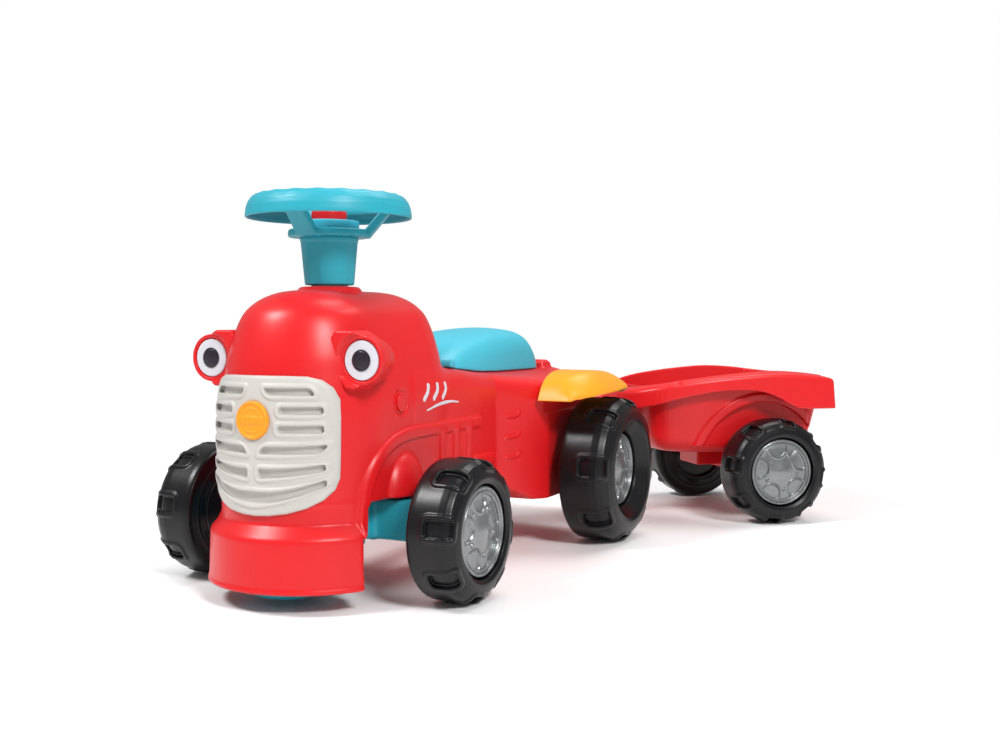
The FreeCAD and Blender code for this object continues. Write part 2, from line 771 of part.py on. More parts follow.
def rear_spacers():
    """Tubes that keep the rear wheels off the body."""
    pair = []
    for side in (-1, 1):
        start = Vector(side * (cell("box_half_width") + 0.2), cell("wheelbase"), cell("big_wheel_radius"))
        end = Vector(side * (cell("rear_wheel_inner") + 3.7), cell("wheelbase"), cell("big_wheel_radius"))
        tube = cylinder(SPACER_RADIUS, start, end)
        pair.append(tube.cut(cylinder(cell("axle_radius"), start, end)))
    return Part.makeCompound(pair)


feature("rear_axle_spacers", rear_spacers())


# --- seat lid ---------------------------------------------------------------------------------------------

SEAT_SIDE = (
    (112.0, 202.0), (352.0, 202.0), (351.0, 216.0), (343.0, 231.0), (322.0, 240.0), (285.0, 243.0),
    (235.0, 240.0), (190.0, 232.0), (150.0, 219.0), (132.0, 211.0), (112.0, 209.0),
)
SEAT_LID_WALL = 3.0
SEAT_HOOD_GAP = 5.0
SEAT_MASK = (150.0, 300.0)


def seat_block(inset):
    half = cell("seat_half_width") - inset
    rear = cell("seat_rear") - inset
    skirt = SEAT_SIDE[0][1] + 3
    side = side_face([(y, z - inset if z > skirt else z - 5 * inset) for y, z in SEAT_SIDE], -PART_SPAN / 2)
    slab = side.extrude(Vector(PART_SPAN, 0, 0))
    corner = cell("seat_corner")
    plan = [(half, cell("seat_front") + inset), (half, rear - corner), (half - corner, rear)]
    mask = plan_face(mirrored_outline(plan), SEAT_MASK[0]).extrude(Vector(0, 0, SEAT_MASK[1] - SEAT_MASK[0]))
    return slab.common(mask)


def seat_lid():
    """Domed lid with a skirt, notched round the rear of the hood, with two ears on the hinge pins."""
    lid = seat_block(0).cut(seat_block(SEAT_LID_WALL))
    low, high = SEAT_MASK
    hood_rear = cell("hood_rear_axis") + 1.5
    clear = cylinder(cell("hood_radius") * HOOD_STEPS[1][1] + SEAT_HOOD_GAP, Vector(0, hood_rear, low),
                     Vector(0, hood_rear, high))
    # the notch runs deeper at the middle so that the lid clears the sloping hood as it opens
    notch_half = cell("seat_notch_half_width")
    notch = box(-notch_half, notch_half, 100, cell("seat_notch_rear"), low, high)
    ear_y = cell("seat_hinge_y")
    ear_z = cell("seat_hinge_z")
    half = cell("seat_half_width")
    for side in (-1, 1):
        x0, x1 = sorted((side * (half - cell("seat_ear_width")), side * half))
        lid = lid.fuse(box(x0, x1, ear_y - 4.5, ear_y + 8, SEAT_SIDE[0][1], ear_z + 4.5))
    lid = lid.cut(clear.fuse(notch))
    gap = cell("seat_pin_radius") + cell("running_gap")
    pin = cylinder(gap, Vector(-half - 10, ear_y, ear_z), Vector(half + 10, ear_y, ear_z))
    return lid.cut(pin).removeSplitter()


SEAT_PIN_START = 34.0


def seat_pins():
    """Two short pins that stand out of the hood's rear corners."""
    pins = []
    for side in (-1, 1):
        start = Vector(side * SEAT_PIN_START, cell("seat_hinge_y"), cell("seat_hinge_z"))
        end = Vector(side * (cell("seat_half_width") + 1), cell("seat_hinge_y"), cell("seat_hinge_z"))
        pins.append(cylinder(cell("seat_pin_radius"), start, end))
    return Part.makeCompound(pins)


feature("seat_lid", seat_lid())
feature("seat_hinge_pins", seat_pins())


# --- steering ---------------------------------------------------------------------------------------------

CRADLE_TOP = cell("cradle_top")


def lock_pin_hole():
    reach = cell("shaft_radius") * 2
    height = cell("lock_pin_height")
    return cylinder(cell("lock_pin_radius"), Vector(0, -reach, height), Vector(0, reach, height))


def steering_shaft():
    """Tube from the cradle's socket up to the hub plate, solid at its foot for the lock pin."""
    low = cell("shaft_bottom")
    top = Vector(0, 0, cell("column_top"))
    rod = cylinder(cell("shaft_radius"), Vector(0, 0, low), top)
    core = cylinder(cell("shaft_radius") - cell("shaft_wall"), Vector(0, 0, low + 20), top)
    return rod.cut(core).cut(lock_pin_hole())


feature("steering_shaft", steering_shaft())

sleeve = upright_body(
    "column_sleeve",
    [("dims.column_bottom_radius - dims.wall", "dims.column_bottom"),
     ("dims.column_bottom_radius", "dims.column_bottom"),
     ("dims.column_top_radius", "dims.column_top"), ("dims.shaft_radius", "dims.column_top"),
     ("dims.shaft_radius", "dims.column_top - 8"),
     ("dims.column_top_radius - dims.wall", "dims.column_top - dims.wall - 6")],
)
finish_part(sleeve, "steering_column")


def steering_wheel():
    """Channel-section rim on three sloping spokes and a round hub plate."""
    low = cell("rim_bottom")
    high = cell("rim_top")
    outer = cell("rim_radius")
    inner = cell("rim_inner_radius")
    section = [(outer, low), (outer, low + 12), (outer - 3, high - 4), (outer - 8, high), (inner + 6, high),
               (inner, high - 5), (inner, low + 8), (inner + 3, low + 8), (inner + 3, high - 6),
               (inner + 7, high - 3.5), (outer - 9, high - 3.5), (outer - 5, high - 7),
               (outer - 3, low + 12), (outer - 3, low)]
    corners = [Vector(r, 0, z) for r, z in section]
    rim = Part.Face(Part.makePolygon(corners + corners[:1])).revolve(Vector(0, 0, 0), Vector(0, 0, 1), 360)
    plate_low = cell("column_top") + 0.1
    plate_high = plate_low + cell("hub_plate_thickness")
    hub = cylinder(cell("hub_plate_radius"), Vector(0, 0, plate_low), Vector(0, 0, plate_high))
    foot = cell("hub_plate_radius") - 2
    side = [(foot - 12, plate_low), (foot, plate_low), (inner + 4, high - 12), (inner + 4, high - 6),
            (inner - 2, high - 6), (foot - 7, plate_high), (foot - 12, plate_high - 1)]
    wide = cell("spoke_half_width")
    spoke_side = [Vector(x, -wide, z) for x, z in side]
    spoke = Part.Face(Part.makePolygon(spoke_side + spoke_side[:1])).extrude(Vector(0, 2 * wide, 0))
    spokes = [spoke.rotated(Vector(0, 0, 0), Vector(0, 0, 1), -90 + 120 * step) for step in range(3)]
    ring = rim.fuse([hub] + spokes)
    return ring.removeSplitter()


feature("steering_wheel", steering_wheel())

PLATE_TOP = size("dims.column_top + 0.1 + dims.hub_plate_thickness")
horn_cup = upright_body(
    "horn_cup_body",
    [("dims.horn_radius + 0.4", "0"), ("dims.horn_cup_radius", "0"),
     ("dims.horn_cup_radius", "dims.horn_cup_height - 2"),
     ("dims.horn_cup_radius - 2", "dims.horn_cup_height"), ("dims.horn_radius + 0.4", "dims.horn_cup_height")],
)
finish_part(horn_cup, "horn_cup", own=at(0, 0, PLATE_TOP + 0.05))

horn_button = upright_body(
    "horn_button_body",
    [("0", "dims.horn_top - 4"), ("dims.horn_radius - 2", "dims.horn_top - 4"),
     ("dims.horn_radius - 2", "dims.horn_top - 13"),
     ("dims.horn_radius", "dims.horn_top - 13"), ("dims.horn_radius", "dims.horn_top - 2.5"),
     ("dims.horn_radius - 3", "dims.horn_top - 0.4"), ("0", "dims.horn_top")],
)
finish_part(horn_button, "horn_button")

bellows = upright_body(
    "horn_bellows_body",
    [("0", "0"), ("11", "0"), ("8", "3.6"), ("11", "7.4"), ("8", "11.2"), ("11", "15"), ("0", "15")],
)
finish_part(bellows, "horn_bellows", own=at(0, 0, PLATE_TOP + 0.1))


def front_cradle():
    """Moulded steering cradle: axle beam, shaft socket and the round skid plate under the nose."""
    half = cell("cradle_half_length")
    width = cell("cradle_half_width")
    mid_half = cell("cradle_middle_length")
    mid_width = cell("cradle_middle_width")
    low = cell("cradle_bottom")
    roof = CRADLE_TOP - WALL
    beam = box(-half, half, -width, width, low, CRADLE_TOP)
    middle = box(-mid_half, mid_half, -mid_width, mid_width, low, CRADLE_TOP)
    hollow = box(-half + WALL, half - WALL, -width + WALL, width - WALL, low - 1, roof)
    mid_half -= WALL
    mid_width -= WALL
    hollow = hollow.fuse(box(-mid_half, mid_half, -mid_width, mid_width, low - 1, roof))
    body = beam.fuse(middle).cut(hollow)
    axle_line = (0, cell("small_wheel_radius"))
    shaft = cell("shaft_radius")
    socket_low = Vector(0, 0, cell("shaft_bottom") - 0.5)
    body = body.fuse(cylinder(shaft + 4, socket_low, Vector(0, 0, CRADLE_TOP - 1)))
    skid_low = cell("skid_bottom")
    skid_high = cell("skid_top")
    boss = cell("cradle_boss_radius")
    for side in (-1, 1):
        boss_start = Vector(side * cell("cradle_boss_start"), *axle_line)
        boss_end = Vector(side * (half + cell("cradle_boss_reach")), *axle_line)
        body = body.fuse(cylinder(boss, boss_start, boss_end))
        x = side * cell("skid_plate_x")
        front = cell("skid_plate_front")
        plate = box(x - 1.5, x + 1.5, front, cell("skid_plate_rear"), skid_low + 4, CRADLE_TOP - 2)
        notch = box(x - 2, x + 2, front - 1, -mid_width - WALL, skid_high + 4, CRADLE_TOP + 30)
        body = body.fuse(plate.cut(notch))
    skid = cell("skid_radius")
    lip = cell("skid_lip")
    base = Vector(0, cell("skid_y"), skid_low)
    rise = skid_high - skid_low
    dish = Part.makeCone(skid - lip, skid, rise, base)
    dish = dish.cut(Part.makeCone(skid - lip - 2, skid - 2, rise, base + Vector(0, 0, 2.5)))
    rod = cylinder(cell("axle_radius"), Vector(-half - 20, *axle_line), Vector(half + 20, *axle_line))
    bore = cylinder(shaft, Vector(0, 0, cell("shaft_bottom")), Vector(0, 0, CRADLE_TOP + 30))
    return body.fuse(dish).cut(Part.makeCompound([rod, bore, lock_pin_hole()])).removeSplitter()


feature("front_cradle", front_cradle())

lock_pin = bound("Part::Cylinder", "shaft_lock_pin_rod", Radius="dims.lock_pin_radius",
                 Height="2 * (dims.shaft_radius + 4)")
pin_start = at(0, cell("shaft_radius") + 4, cell("lock_pin_height"), Vector(1, 0, 0), 90)
finish_part(lock_pin, "shaft_lock_pin", own=pin_start)


# --- hitch and trailer ------------------------------------------------------------------------------------

pin = upright_body(
    "hitch_pin_body",
    [("0", "dims.hitch_shelf_bottom - dims.hitch_pin_head"),
     ("dims.hitch_pin_radius + 4", "dims.hitch_shelf_bottom - dims.hitch_pin_head"),
     ("dims.hitch_pin_radius + 4", "dims.hitch_shelf_bottom"),
     ("dims.hitch_pin_radius", "dims.hitch_shelf_bottom"),
     ("dims.hitch_pin_radius", "dims.hitch_pin_top - 4"), ("dims.hitch_pin_radius - 2", "dims.hitch_pin_top"),
     ("0", "dims.hitch_pin_top")],
)
finish_part(pin, "hitch_pin", own=at(0, HITCH.y, 0))

TUB_FLOOR = ((22.0, 132.0), (58.0, 148.0), (80.0, 190.0), (84.0, 336.0))
TUB_MOUTH = ((30.0, 124.0), (64.0, 142.0), (88.0, 190.0), (90.0, 350.0))
RIM_CORNER = 9.0
SKIRT_REACH = 60.0
SKIRT_ARCH = ((181.0, 157.0), (225.0, 164.0), (285.0, 164.0))
SKIRT_ARCH_FRONT, SKIRT_ARCH_REAR = 100.0, 318.0
RIM_PLAN = ((30.0, 112.0), (70.0, 135.0), (104.0, 190.0), (118.0, 250.0))


def tub_loft(inset, low, high):
    """Tapering tub between its floor outline and its mouth outline."""
    wires = []
    for outline, z in ((TUB_FLOOR, low), (TUB_MOUTH, high)):
        half = [(x - inset, y + inset if index < 1 else y) for index, (x, y) in enumerate(outline)]
        half[-1] = (half[-1][0], half[-1][1] - inset)
        corners = [Vector(x, y, z) for x, y in mirrored_outline(half)]
        wires.append(Part.makePolygon(corners + corners[:1]))
    return Part.makeLoft(wires, True, True)


def rim_block(inset, low, high):
    wide = cell("rim_half_width") - inset
    rear = cell("rim_rear") - inset
    half = [(x - inset, y + inset if index < 1 else y) for index, (x, y) in enumerate(RIM_PLAN)]
    half.append((wide, rear))
    block = plan_face(mirrored_outline(half), low).extrude(Vector(0, 0, high - low))
    corners = [edge for edge in upright_edges(block) if edge.Vertexes[0].Point.y > rear - 1]
    return block.makeFillet(RIM_CORNER - inset, corners)


def trailer_tub():
    """Open tub with an overhanging rim skirt over the wheels and a tongue to the hitch."""
    floor = cell("tub_bottom")
    rim = cell("tub_rim")
    skirt = cell("skirt_bottom")
    skirt_ring = rim_block(0, skirt, rim).cut(rim_block(WALL, skirt - 1, rim - WALL))
    tub = tub_loft(0, floor, rim - WALL).fuse(skirt_ring)
    cavity = tub_loft(WALL, floor + WALL, rim - WALL + 0.01)
    mouth = [(x - WALL, y + WALL if index < 1 else y) for index, (x, y) in enumerate(TUB_MOUTH)]
    mouth[-1] = (mouth[-1][0], mouth[-1][1] - WALL)
    opening = plan_face(mirrored_outline(mouth), rim - WALL - 0.5).extrude(Vector(0, 0, 10))
    # the skirt's lower edge rises over the wheel
    below = skirt - 5
    arch = [(SKIRT_ARCH_FRONT, below), (SKIRT_ARCH_FRONT, skirt), *SKIRT_ARCH, (SKIRT_ARCH_REAR, skirt)]
    arch.append((SKIRT_ARCH_REAR, below))
    inner = cell("tub_half_width") + 4
    side_cuts = []
    for start in (inner, -inner - SKIRT_REACH):
        side_cuts.append(side_face(arch, start).extrude(Vector(SKIRT_REACH, 0, 0)))
    tongue_half = cell("tongue_half_width")
    tongue_low = cell("tongue_bottom")
    tongue = box(-tongue_half, tongue_half, 0, cell("tongue_rear"), tongue_low, cell("tongue_top"))
    eye = cylinder(tongue_half, Vector(0, 0, cell("eye_bottom")), Vector(0, 0, cell("eye_top")))
    brace_half = cell("brace_half_width")
    brace_front = cell("hitch_half_width") + WALL
    brace = box(-brace_half, brace_half, brace_front, cell("brace_rear"), cell("brace_bottom"), tongue_low + 1)
    tub = tub.fuse([tongue, eye, brace]).cut(cavity.fuse(opening)).cut(Part.makeCompound(side_cuts))
    bore_radius = cell("hitch_pin_radius") + cell("running_gap")
    bore = cylinder(bore_radius, Vector(0, 0, tongue_low - 40), Vector(0, 0, tongue_low + 60))
    return tub.cut(bore).removeSplitter()


feature("trailer_tub", trailer_tub(), trailer=True)


def screw_spots():
    x = cell("screw_x")
    y = cell("trailer_axle_y")
    step = cell("screw_step")
    return [(side * x, y + way * step) for side in (-1, 1) for way in (-1, 1)]


def axle_bracket():
    """Channel under the tub that carries the trailer's axle."""
    half = cell("bracket_half_width")
    length = cell("bracket_half_length")
    y = cell("trailer_axle_y")
    low = cell("bracket_bottom")
    high = cell("tub_bottom") - 0.05
    keel = cell("keel_half_width")
    front = cell("keel_front")
    rear = cell("keel_rear")
    channel = box(-half, half, y - length, y + length, low, high)
    channel = channel.fuse(box(-keel, keel, front, rear, cell("keel_bottom"), high))
    hollow = box(-half + WALL, half - WALL, y - length + WALL, y + length - WALL, low - 1, high - WALL)
    keel -= WALL
    hollow = hollow.fuse(box(-keel, keel, front + WALL, rear - WALL, low - 1, high - WALL))
    bracket = channel.cut(hollow)
    line = (y, cell("small_wheel_radius"))
    boss = cell("screw_boss_half")
    radius = cell("trailer_boss_radius")
    for side in (-1, 1):
        start = Vector(side * (half - 6), *line)
        bracket = bracket.fuse(cylinder(radius, start, Vector(side * (half + 8), *line)))
    for x, screw_y in screw_spots():
        post = box(x - boss, x + boss, screw_y - boss, screw_y + boss, cell("screw_boss_bottom"), high)
        hole = cylinder(cell("screw_radius"), Vector(x, screw_y, low), Vector(x, screw_y, high + 6))
        bracket = bracket.fuse(post).cut(hole)
    bore = cylinder(cell("axle_radius"), Vector(-half - 30, *line), Vector(half + 30, *line))
    return bracket.cut(bore).removeSplitter()


feature("trailer_axle_bracket", axle_bracket(), trailer=True)


def bracket_screws():
    """Four screws that hold the axle bracket to the tub's floor."""
    screws = []
    seat = cell("screw_boss_bottom") - 0.05
    tip = cell("tub_bottom") - 0.3
    for x, y in screw_spots():
        foot = Vector(x, y, seat - cell("screw_head_height"))
        head = cylinder(cell("screw_head_radius"), foot, Vector(x, y, seat))
        shank = cylinder(cell("screw_radius"), Vector(x, y, seat), Vector(x, y, tip))
        screws.append(head.fuse(shank))
    return Part.makeCompound(screws)


feature("bracket_screws", bracket_screws(), trailer=True)


# --- checks and export ------------------------------------------------------------------------------------

doc.recompute()

faults = []
for item in doc.Objects:
    if {"Invalid", "Error"} & set(item.State):
        faults.append(f"{item.Name}: {item.State}")
for item in parts:
    if item.Shape.isNull() or not item.Shape.isValid() or not item.Shape.Solids:
        faults.append(f"{item.Label}: bad shape")
if faults:
    raise SystemExit("\n".join(faults))

os.makedirs("parts", exist_ok=True)
whole = FreeCAD.BoundBox()
for item in parts:
    item.Shape.exportStep(f"parts/{item.Label}.step")
    whole.add(item.Shape.optimalBoundingBox())
print(f"{len(parts)} sub-parts; x {whole.XMin:.2f} to {whole.XMax:.2f}, "
      f"y {whole.YMin:.2f} to {whole.YMax:.2f}, z {whole.ZMin:.2f} to {whole.ZMax:.2f}")
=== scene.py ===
"""Looks of the ride-on toy tractor and its trailer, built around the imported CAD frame.

Shapes are written in millimetres in two frames of their own: the tractor's (ground point under the front
axle, facing -Y, its left side +X) and the trailer's (hitch pin on the Z axis, running back along +Y).  Each
moulded piece is a signed distance field that is turned into a mesh, so fillets, ribs and lips blend as they
do in plastic.  Mirrored pieces are drawn on their +X half only.
"""

import json
import math

import bpy
import numpy as np
import openvdb
from mathutils import Matrix, Vector


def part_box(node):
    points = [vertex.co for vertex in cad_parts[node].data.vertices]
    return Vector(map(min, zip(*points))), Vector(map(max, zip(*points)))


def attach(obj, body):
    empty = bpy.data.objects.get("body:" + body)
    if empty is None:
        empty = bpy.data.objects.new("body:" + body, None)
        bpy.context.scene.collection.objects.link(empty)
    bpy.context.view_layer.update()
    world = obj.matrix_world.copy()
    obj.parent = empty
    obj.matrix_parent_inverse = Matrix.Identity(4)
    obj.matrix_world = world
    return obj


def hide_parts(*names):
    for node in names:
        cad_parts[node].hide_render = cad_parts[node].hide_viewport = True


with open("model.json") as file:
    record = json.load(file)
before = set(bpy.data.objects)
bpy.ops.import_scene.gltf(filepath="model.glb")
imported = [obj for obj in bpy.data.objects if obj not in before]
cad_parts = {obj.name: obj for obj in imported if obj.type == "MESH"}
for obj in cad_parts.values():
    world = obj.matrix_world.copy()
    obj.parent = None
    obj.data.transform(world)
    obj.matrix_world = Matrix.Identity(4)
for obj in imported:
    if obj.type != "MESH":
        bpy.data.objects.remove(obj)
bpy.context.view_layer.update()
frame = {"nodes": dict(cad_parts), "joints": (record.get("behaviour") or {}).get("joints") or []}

MM = 0.001

# --- the two frames ---------------------------------------------------------------------------------------

joints = {joint["name"]: joint for joint in frame["joints"]}


def middle(node):
    low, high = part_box(node)
    return (low + high) / 2


def moved(x, y, z):
    return Matrix.Translation(Vector((x, y, z)) * MM)


TRACTOR = Matrix.Translation((middle("body_shell").x, middle("front_axle").y, 0))
hitch = Vector(joints["trailer_yaw"]["pos_m"])
across = Vector(joints["trailer_left_spin"]["pos_m"]) - Vector(joints["trailer_right_spin"]["pos_m"])
trailer_turn = math.atan2(across.y, across.x)
TRAILER = Matrix.Translation((hitch.x, hitch.y, 0)) @ Matrix.Rotation(trailer_turn, 4, "Z")

MIRROR = Matrix.Scale(-1, 4, Vector((1, 0, 0)))
SIDES = (("left", Matrix.Identity(4)), ("right", MIRROR))

# --- shared sizes -----------------------------------------------------------------------------------------

HITCH_LINE = 430.0
REAR_LINE = 332.4
TRAILER_LINE = 285.0
SMALL_RADIUS = 65.0
BIG_RADIUS = 82.3
AXLE_HOLE = 4.2
SHAFT_HOLE = 10.2

# --- signed distance fields -------------------------------------------------------------------------------

SHARP = 0.001
FAR = 50.0


class Grid:
    """Sample points of a box, in millimetres, as three arrays that broadcast together."""

    def __init__(self, low, high, step):
        self.low = low
        self.step = step
        counts = [int(math.ceil((b - a) / step)) + 1 for a, b in zip(low, high)]
        axes = [np.float32(a + step * np.arange(n)) for a, n in zip(low, counts)]
        self.x = axes[0][:, None, None]
        self.y = axes[1][None, :, None]
        self.z = axes[2][None, None, :]


def union(a, b, blend=SHARP):
    h = np.maximum(blend - np.abs(a - b), 0) / blend
    return np.minimum(a, b) - h * h * (blend / 4)


def overlap(a, b, blend=SHARP):
    return -union(-a, -b, blend)


def carve(a, b, blend=SHARP):
    return overlap(a, -b, blend)


def length(*parts):
    return np.sqrt(sum(part * part for part in parts))


def fold(angle, count):
    """Folds a full turn into one of `count` equal sectors, measured from the sector's middle."""
    share = 2 * math.pi / count
    return (angle + share / 2) % share - share / 2


def slab(value, low, high):
    return np.abs(value - (low + high) / 2) - (high - low) / 2


def rounded_rect(u, v, half_u, half_v, radius):
    """Signed distance to a rounded rectangle centred on the origin."""
    qu = np.abs(u) - (half_u - radius)
    qv = np.abs(v) - (half_v - radius)
    return length(np.maximum(qu, 0), np.maximum(qv, 0)) + np.minimum(np.maximum(qu, qv), 0) - radius


def rounded_box(u, v, w, half, radius):
    qu, qv, qw = (np.abs(value) - (size - radius) for value, size in zip((u, v, w), half))
    outside = length(np.maximum(qu, 0), np.maximum(qv, 0), np.maximum(qw, 0))
    return outside + np.minimum(np.maximum(qu, np.maximum(qv, qw)), 0) - radius


def segment(u, v, start, end):
    """Distance to a straight segment in a plane."""
    du, dv = end[0] - start[0], end[1] - start[1]
    t = np.clip(((u - start[0]) * du + (v - start[1]) * dv) / (du * du + dv * dv), 0, 1)
    return length(u - start[0] - t * du, v - start[1] - t * dv)


def path(u, v, points):
    """Distance to an open polyline in a plane."""
    return np.minimum.reduce([segment(u, v, a, b) for a, b in zip(points, points[1:])])


def polygon(u, v, points):
    """Signed distance to a closed polygon in a plane, negative inside."""
    count = len(points)
    near = path(u, v, list(points) + [points[0]])
    inside = np.zeros(np.broadcast(u, v).shape, bool)
    for index in range(count):
        (au, av), (bu, bv) = points[index], points[(index + 1) % count]
        if av == bv:
            continue
        crosses = (av > v) != (bv > v)
        side = (bu - au) * (v - av) / (bv - av) + au
        inside ^= crosses & (u < side)
    return np.where(inside, -near, near)


def smooth_curve(points, steps=8):
    """Catmull-Rom points through a few given ones."""
    pts = [np.array(p, float) for p in points]
    out = []
    for index in range(len(pts) - 1):
        p1, p2 = pts[index], pts[index + 1]
        p0 = pts[index - 1] if index > 0 else p1 * 2 - p2
        p3 = pts[index + 2] if index + 2 < len(pts) else p2 * 2 - p1
        for step in range(steps):
            t = step / steps
            out.append(tuple(0.5 * (2 * p1 + (p2 - p0) * t + (2 * p0 - 5 * p1 + 4 * p2 - p3) * t * t
                                    + (3 * p1 - p0 - 3 * p2 + p3) * t ** 3)))
    out.append(tuple(pts[-1]))
    return out


def along_curve(value, points, steps=5):
    """Height of a smooth curve through the points at each given value."""
    curve = smooth_curve(points, steps)
    return np.interp(value, [p[0] for p in curve], [p[1] for p in curve])


def lookup(points, u, v, margin=12.0, step=0.5):
    """Signed distance to a polygon, tabulated once and read off bilinearly at (u, v)."""
    us = [p[0] for p in points]
    vs = [p[1] for p in points]
    low_u, low_v = min(us) - margin, min(vs) - margin
    nu = int((max(us) + margin - low_u) / step) + 2
    nv = int((max(vs) + margin - low_v) / step) + 2
    gu = np.float32(low_u + step * np.arange(nu))[:, None]
    gv = np.float32(low_v + step * np.arange(nv))[None, :]
    table = np.float32(polygon(gu, gv, points))
    fu = np.clip((u - low_u) / step, 0, nu - 1.001)
    fv = np.clip((v - low_v) / step, 0, nv - 1.001)
    iu, iv = fu.astype(np.int32), fv.astype(np.int32)
    tu, tv = fu - iu, fv - iv
    near = table[iu, iv] * (1 - tv) + table[iu, iv + 1] * tv
    far = table[iu + 1, iv] * (1 - tv) + table[iu + 1, iv + 1] * tv
    return near * (1 - tu) + far * tu


# --- fields to meshes -------------------------------------------------------------------------------------


def mesh_object(name, points, quads, place):
    if place.determinant() < 0:
        quads = quads[:, ::-1]
    mesh = bpy.data.meshes.new(name)
    mesh.vertices.add(len(points))
    mesh.vertices.foreach_set("co", np.asarray(points * MM, np.float32).ravel())
    mesh.loops.add(quads.size)
    mesh.loops.foreach_set("vertex_index", quads.ravel().astype(np.int32))
    mesh.polygons.add(len(quads))
    mesh.polygons.foreach_set("loop_start", np.arange(0, quads.size, quads.shape[1], dtype=np.int32))
    mesh.polygons.foreach_set("use_smooth", np.ones(len(quads), bool))
    mesh.update(calc_edges=True)
    mesh.validate()
    mesh.transform(place)
    item = bpy.data.objects.new(name, mesh)
    bpy.context.scene.collection.objects.link(item)
    return item


def surface(grid, field, mirrored=False):
    """Points and quads, in millimetres, where a field is zero.  A mirrored grid starts at x = 0."""
    shape = np.broadcast(grid.x, grid.y, grid.z).shape
    values = np.ascontiguousarray(np.broadcast_to(field, shape), dtype=np.float32)
    low = list(grid.low)
    if mirrored:
        values = np.concatenate((values[:0:-1], values))
        low[0] = -low[0] - grid.step * (shape[0] - 1)
    band = 3 * grid.step
    volume = openvdb.FloatGrid(background=band)
    volume.copyFromArray(np.clip(values, -band, band))
    points, quads = volume.convertToQuads(isovalue=0.0)
    points = points * grid.step + np.array(low)
    corners = points[quads]
    first = np.cross(corners[:, 1] - corners[:, 0], corners[:, 2] - corners[:, 0])
    second = np.cross(corners[:, 2] - corners[:, 0], corners[:, 3] - corners[:, 0])
    if ((first + second) * corners[:, 0]).sum() < 0:
        quads = quads[:, ::-1]
    return points, quads


def mould(name, grid, field, place=TRACTOR, mirrored=False):
    return mesh_object(name, *surface(grid, field, mirrored), place)


# --- materials --------------------------------------------------------------------------------------------


def node(tree, kind, **values):
    item = tree.nodes.new(kind)
    for key, value in values.items():
        if hasattr(item, key):
            setattr(item, key, value)
        else:
            item.inputs[key.replace("_", " ")].default_value = value
    return item


def blend_colours(tree, factor, first, second):
    """Mixes two colours, each given as a value or as the output socket that carries it."""
    mix = tree.nodes.new("ShaderNodeMix")
    mix.data_type = "RGBA"
    tree.links.new(factor, mix.inputs[0])
    for socket, colour in ((mix.inputs[6], first), (mix.inputs[7], second)):
        if isinstance(colour, tuple):
            socket.default_value = (*colour, 1)
        else:
            tree.links.new(colour, socket)
    return mix.outputs[2]


def plastic(name, colour, roughness=0.38, variation=0.06, grain=0.06, grain_scale=900.0, coat=0.0,
            metallic=0.0, specular=0.4, slot=None):
    """Moulded plastic: faint colour mottling, uneven gloss, fine grain and a few handling scuffs."""
    material = bpy.data.materials.new(name)
    material["slot"] = slot or name
    material.use_nodes = True
    tree = material.node_tree
    link = tree.links.new
    shader = tree.nodes["Principled BSDF"]
    shader.inputs["Metallic"].default_value = metallic
    shader.inputs["Specular IOR Level"].default_value = specular
    shader.inputs["Coat Weight"].default_value = coat
    shader.inputs["Coat Roughness"].default_value = 0.12
    place = node(tree, "ShaderNodeTexCoord")
    mottling = node(tree, "ShaderNodeTexNoise", Scale=14.0, Detail=4.0, Roughness=0.55)
    link(place.outputs["Object"], mottling.inputs["Vector"])
    darker = tuple(c * (1 - variation) for c in colour)
    lighter = tuple(min(c * (1 + variation), 1) for c in colour)
    tint = blend_colours(tree, mottling.outputs["Fac"], darker, lighter)
    scuff_noise = node(tree, "ShaderNodeTexNoise", Scale=60.0, Detail=8.0, Roughness=0.7, Distortion=1.2)
    link(place.outputs["Object"], scuff_noise.inputs["Vector"])
    scuffs = node(tree, "ShaderNodeMapRange")
    scuffs.inputs["From Min"].default_value = 0.62
    scuffs.inputs["From Max"].default_value = 0.78
    scuffs.inputs["To Max"].default_value = 0.35
    link(scuff_noise.outputs["Fac"], scuffs.inputs["Value"])
    scuffed = tuple(c * 0.85 + 0.04 for c in colour)
    link(blend_colours(tree, scuffs.outputs["Result"], tint, scuffed), shader.inputs["Base Color"])
    gloss = node(tree, "ShaderNodeMapRange")
    gloss.inputs["To Min"].default_value = roughness - 0.05
    gloss.inputs["To Max"].default_value = roughness + 0.07
    link(scuff_noise.outputs["Fac"], gloss.inputs["Value"])
    link(gloss.outputs["Result"], shader.inputs["Roughness"])
    fine = node(tree, "ShaderNodeTexNoise", Scale=grain_scale, Detail=3.0, Roughness=0.6)
    link(place.outputs["Object"], fine.inputs["Vector"])
    bump = node(tree, "ShaderNodeBump", Strength=grain, Distance=0.0004)
    link(fine.outputs["Fac"], bump.inputs["Height"])
    link(bump.outputs["Normal"], shader.inputs["Normal"])
    return material


RED = plastic("red_plastic", (0.62, 0.009, 0.012), roughness=0.34, variation=0.05, specular=0.36)
TURQUOISE = plastic("turquoise_plastic", (0.018, 0.33, 0.42), roughness=0.42)
PALE_TURQUOISE = plastic("pale_turquoise_plastic", (0.055, 0.42, 0.54), roughness=0.36, specular=0.3)
YELLOW = plastic("yellow_plastic", (0.84, 0.30, 0.012), roughness=0.36, variation=0.04, specular=0.3)
GRILLE = plastic("grille_plastic", (0.50, 0.485, 0.455), roughness=0.42, variation=0.03)
BLACK = plastic("black_plastic", (0.005, 0.005, 0.006), roughness=0.30, variation=0.15, grain=0.10,
                grain_scale=700.0, specular=0.28)
HUBCAP = plastic("hubcap_plastic", (0.20, 0.21, 0.215), roughness=0.27, variation=0.04, grain=0.02,
                 coat=0.35, metallic=0.60)
WHITE = plastic("white_print", (0.58, 0.58, 0.62), roughness=0.30, variation=0.02)
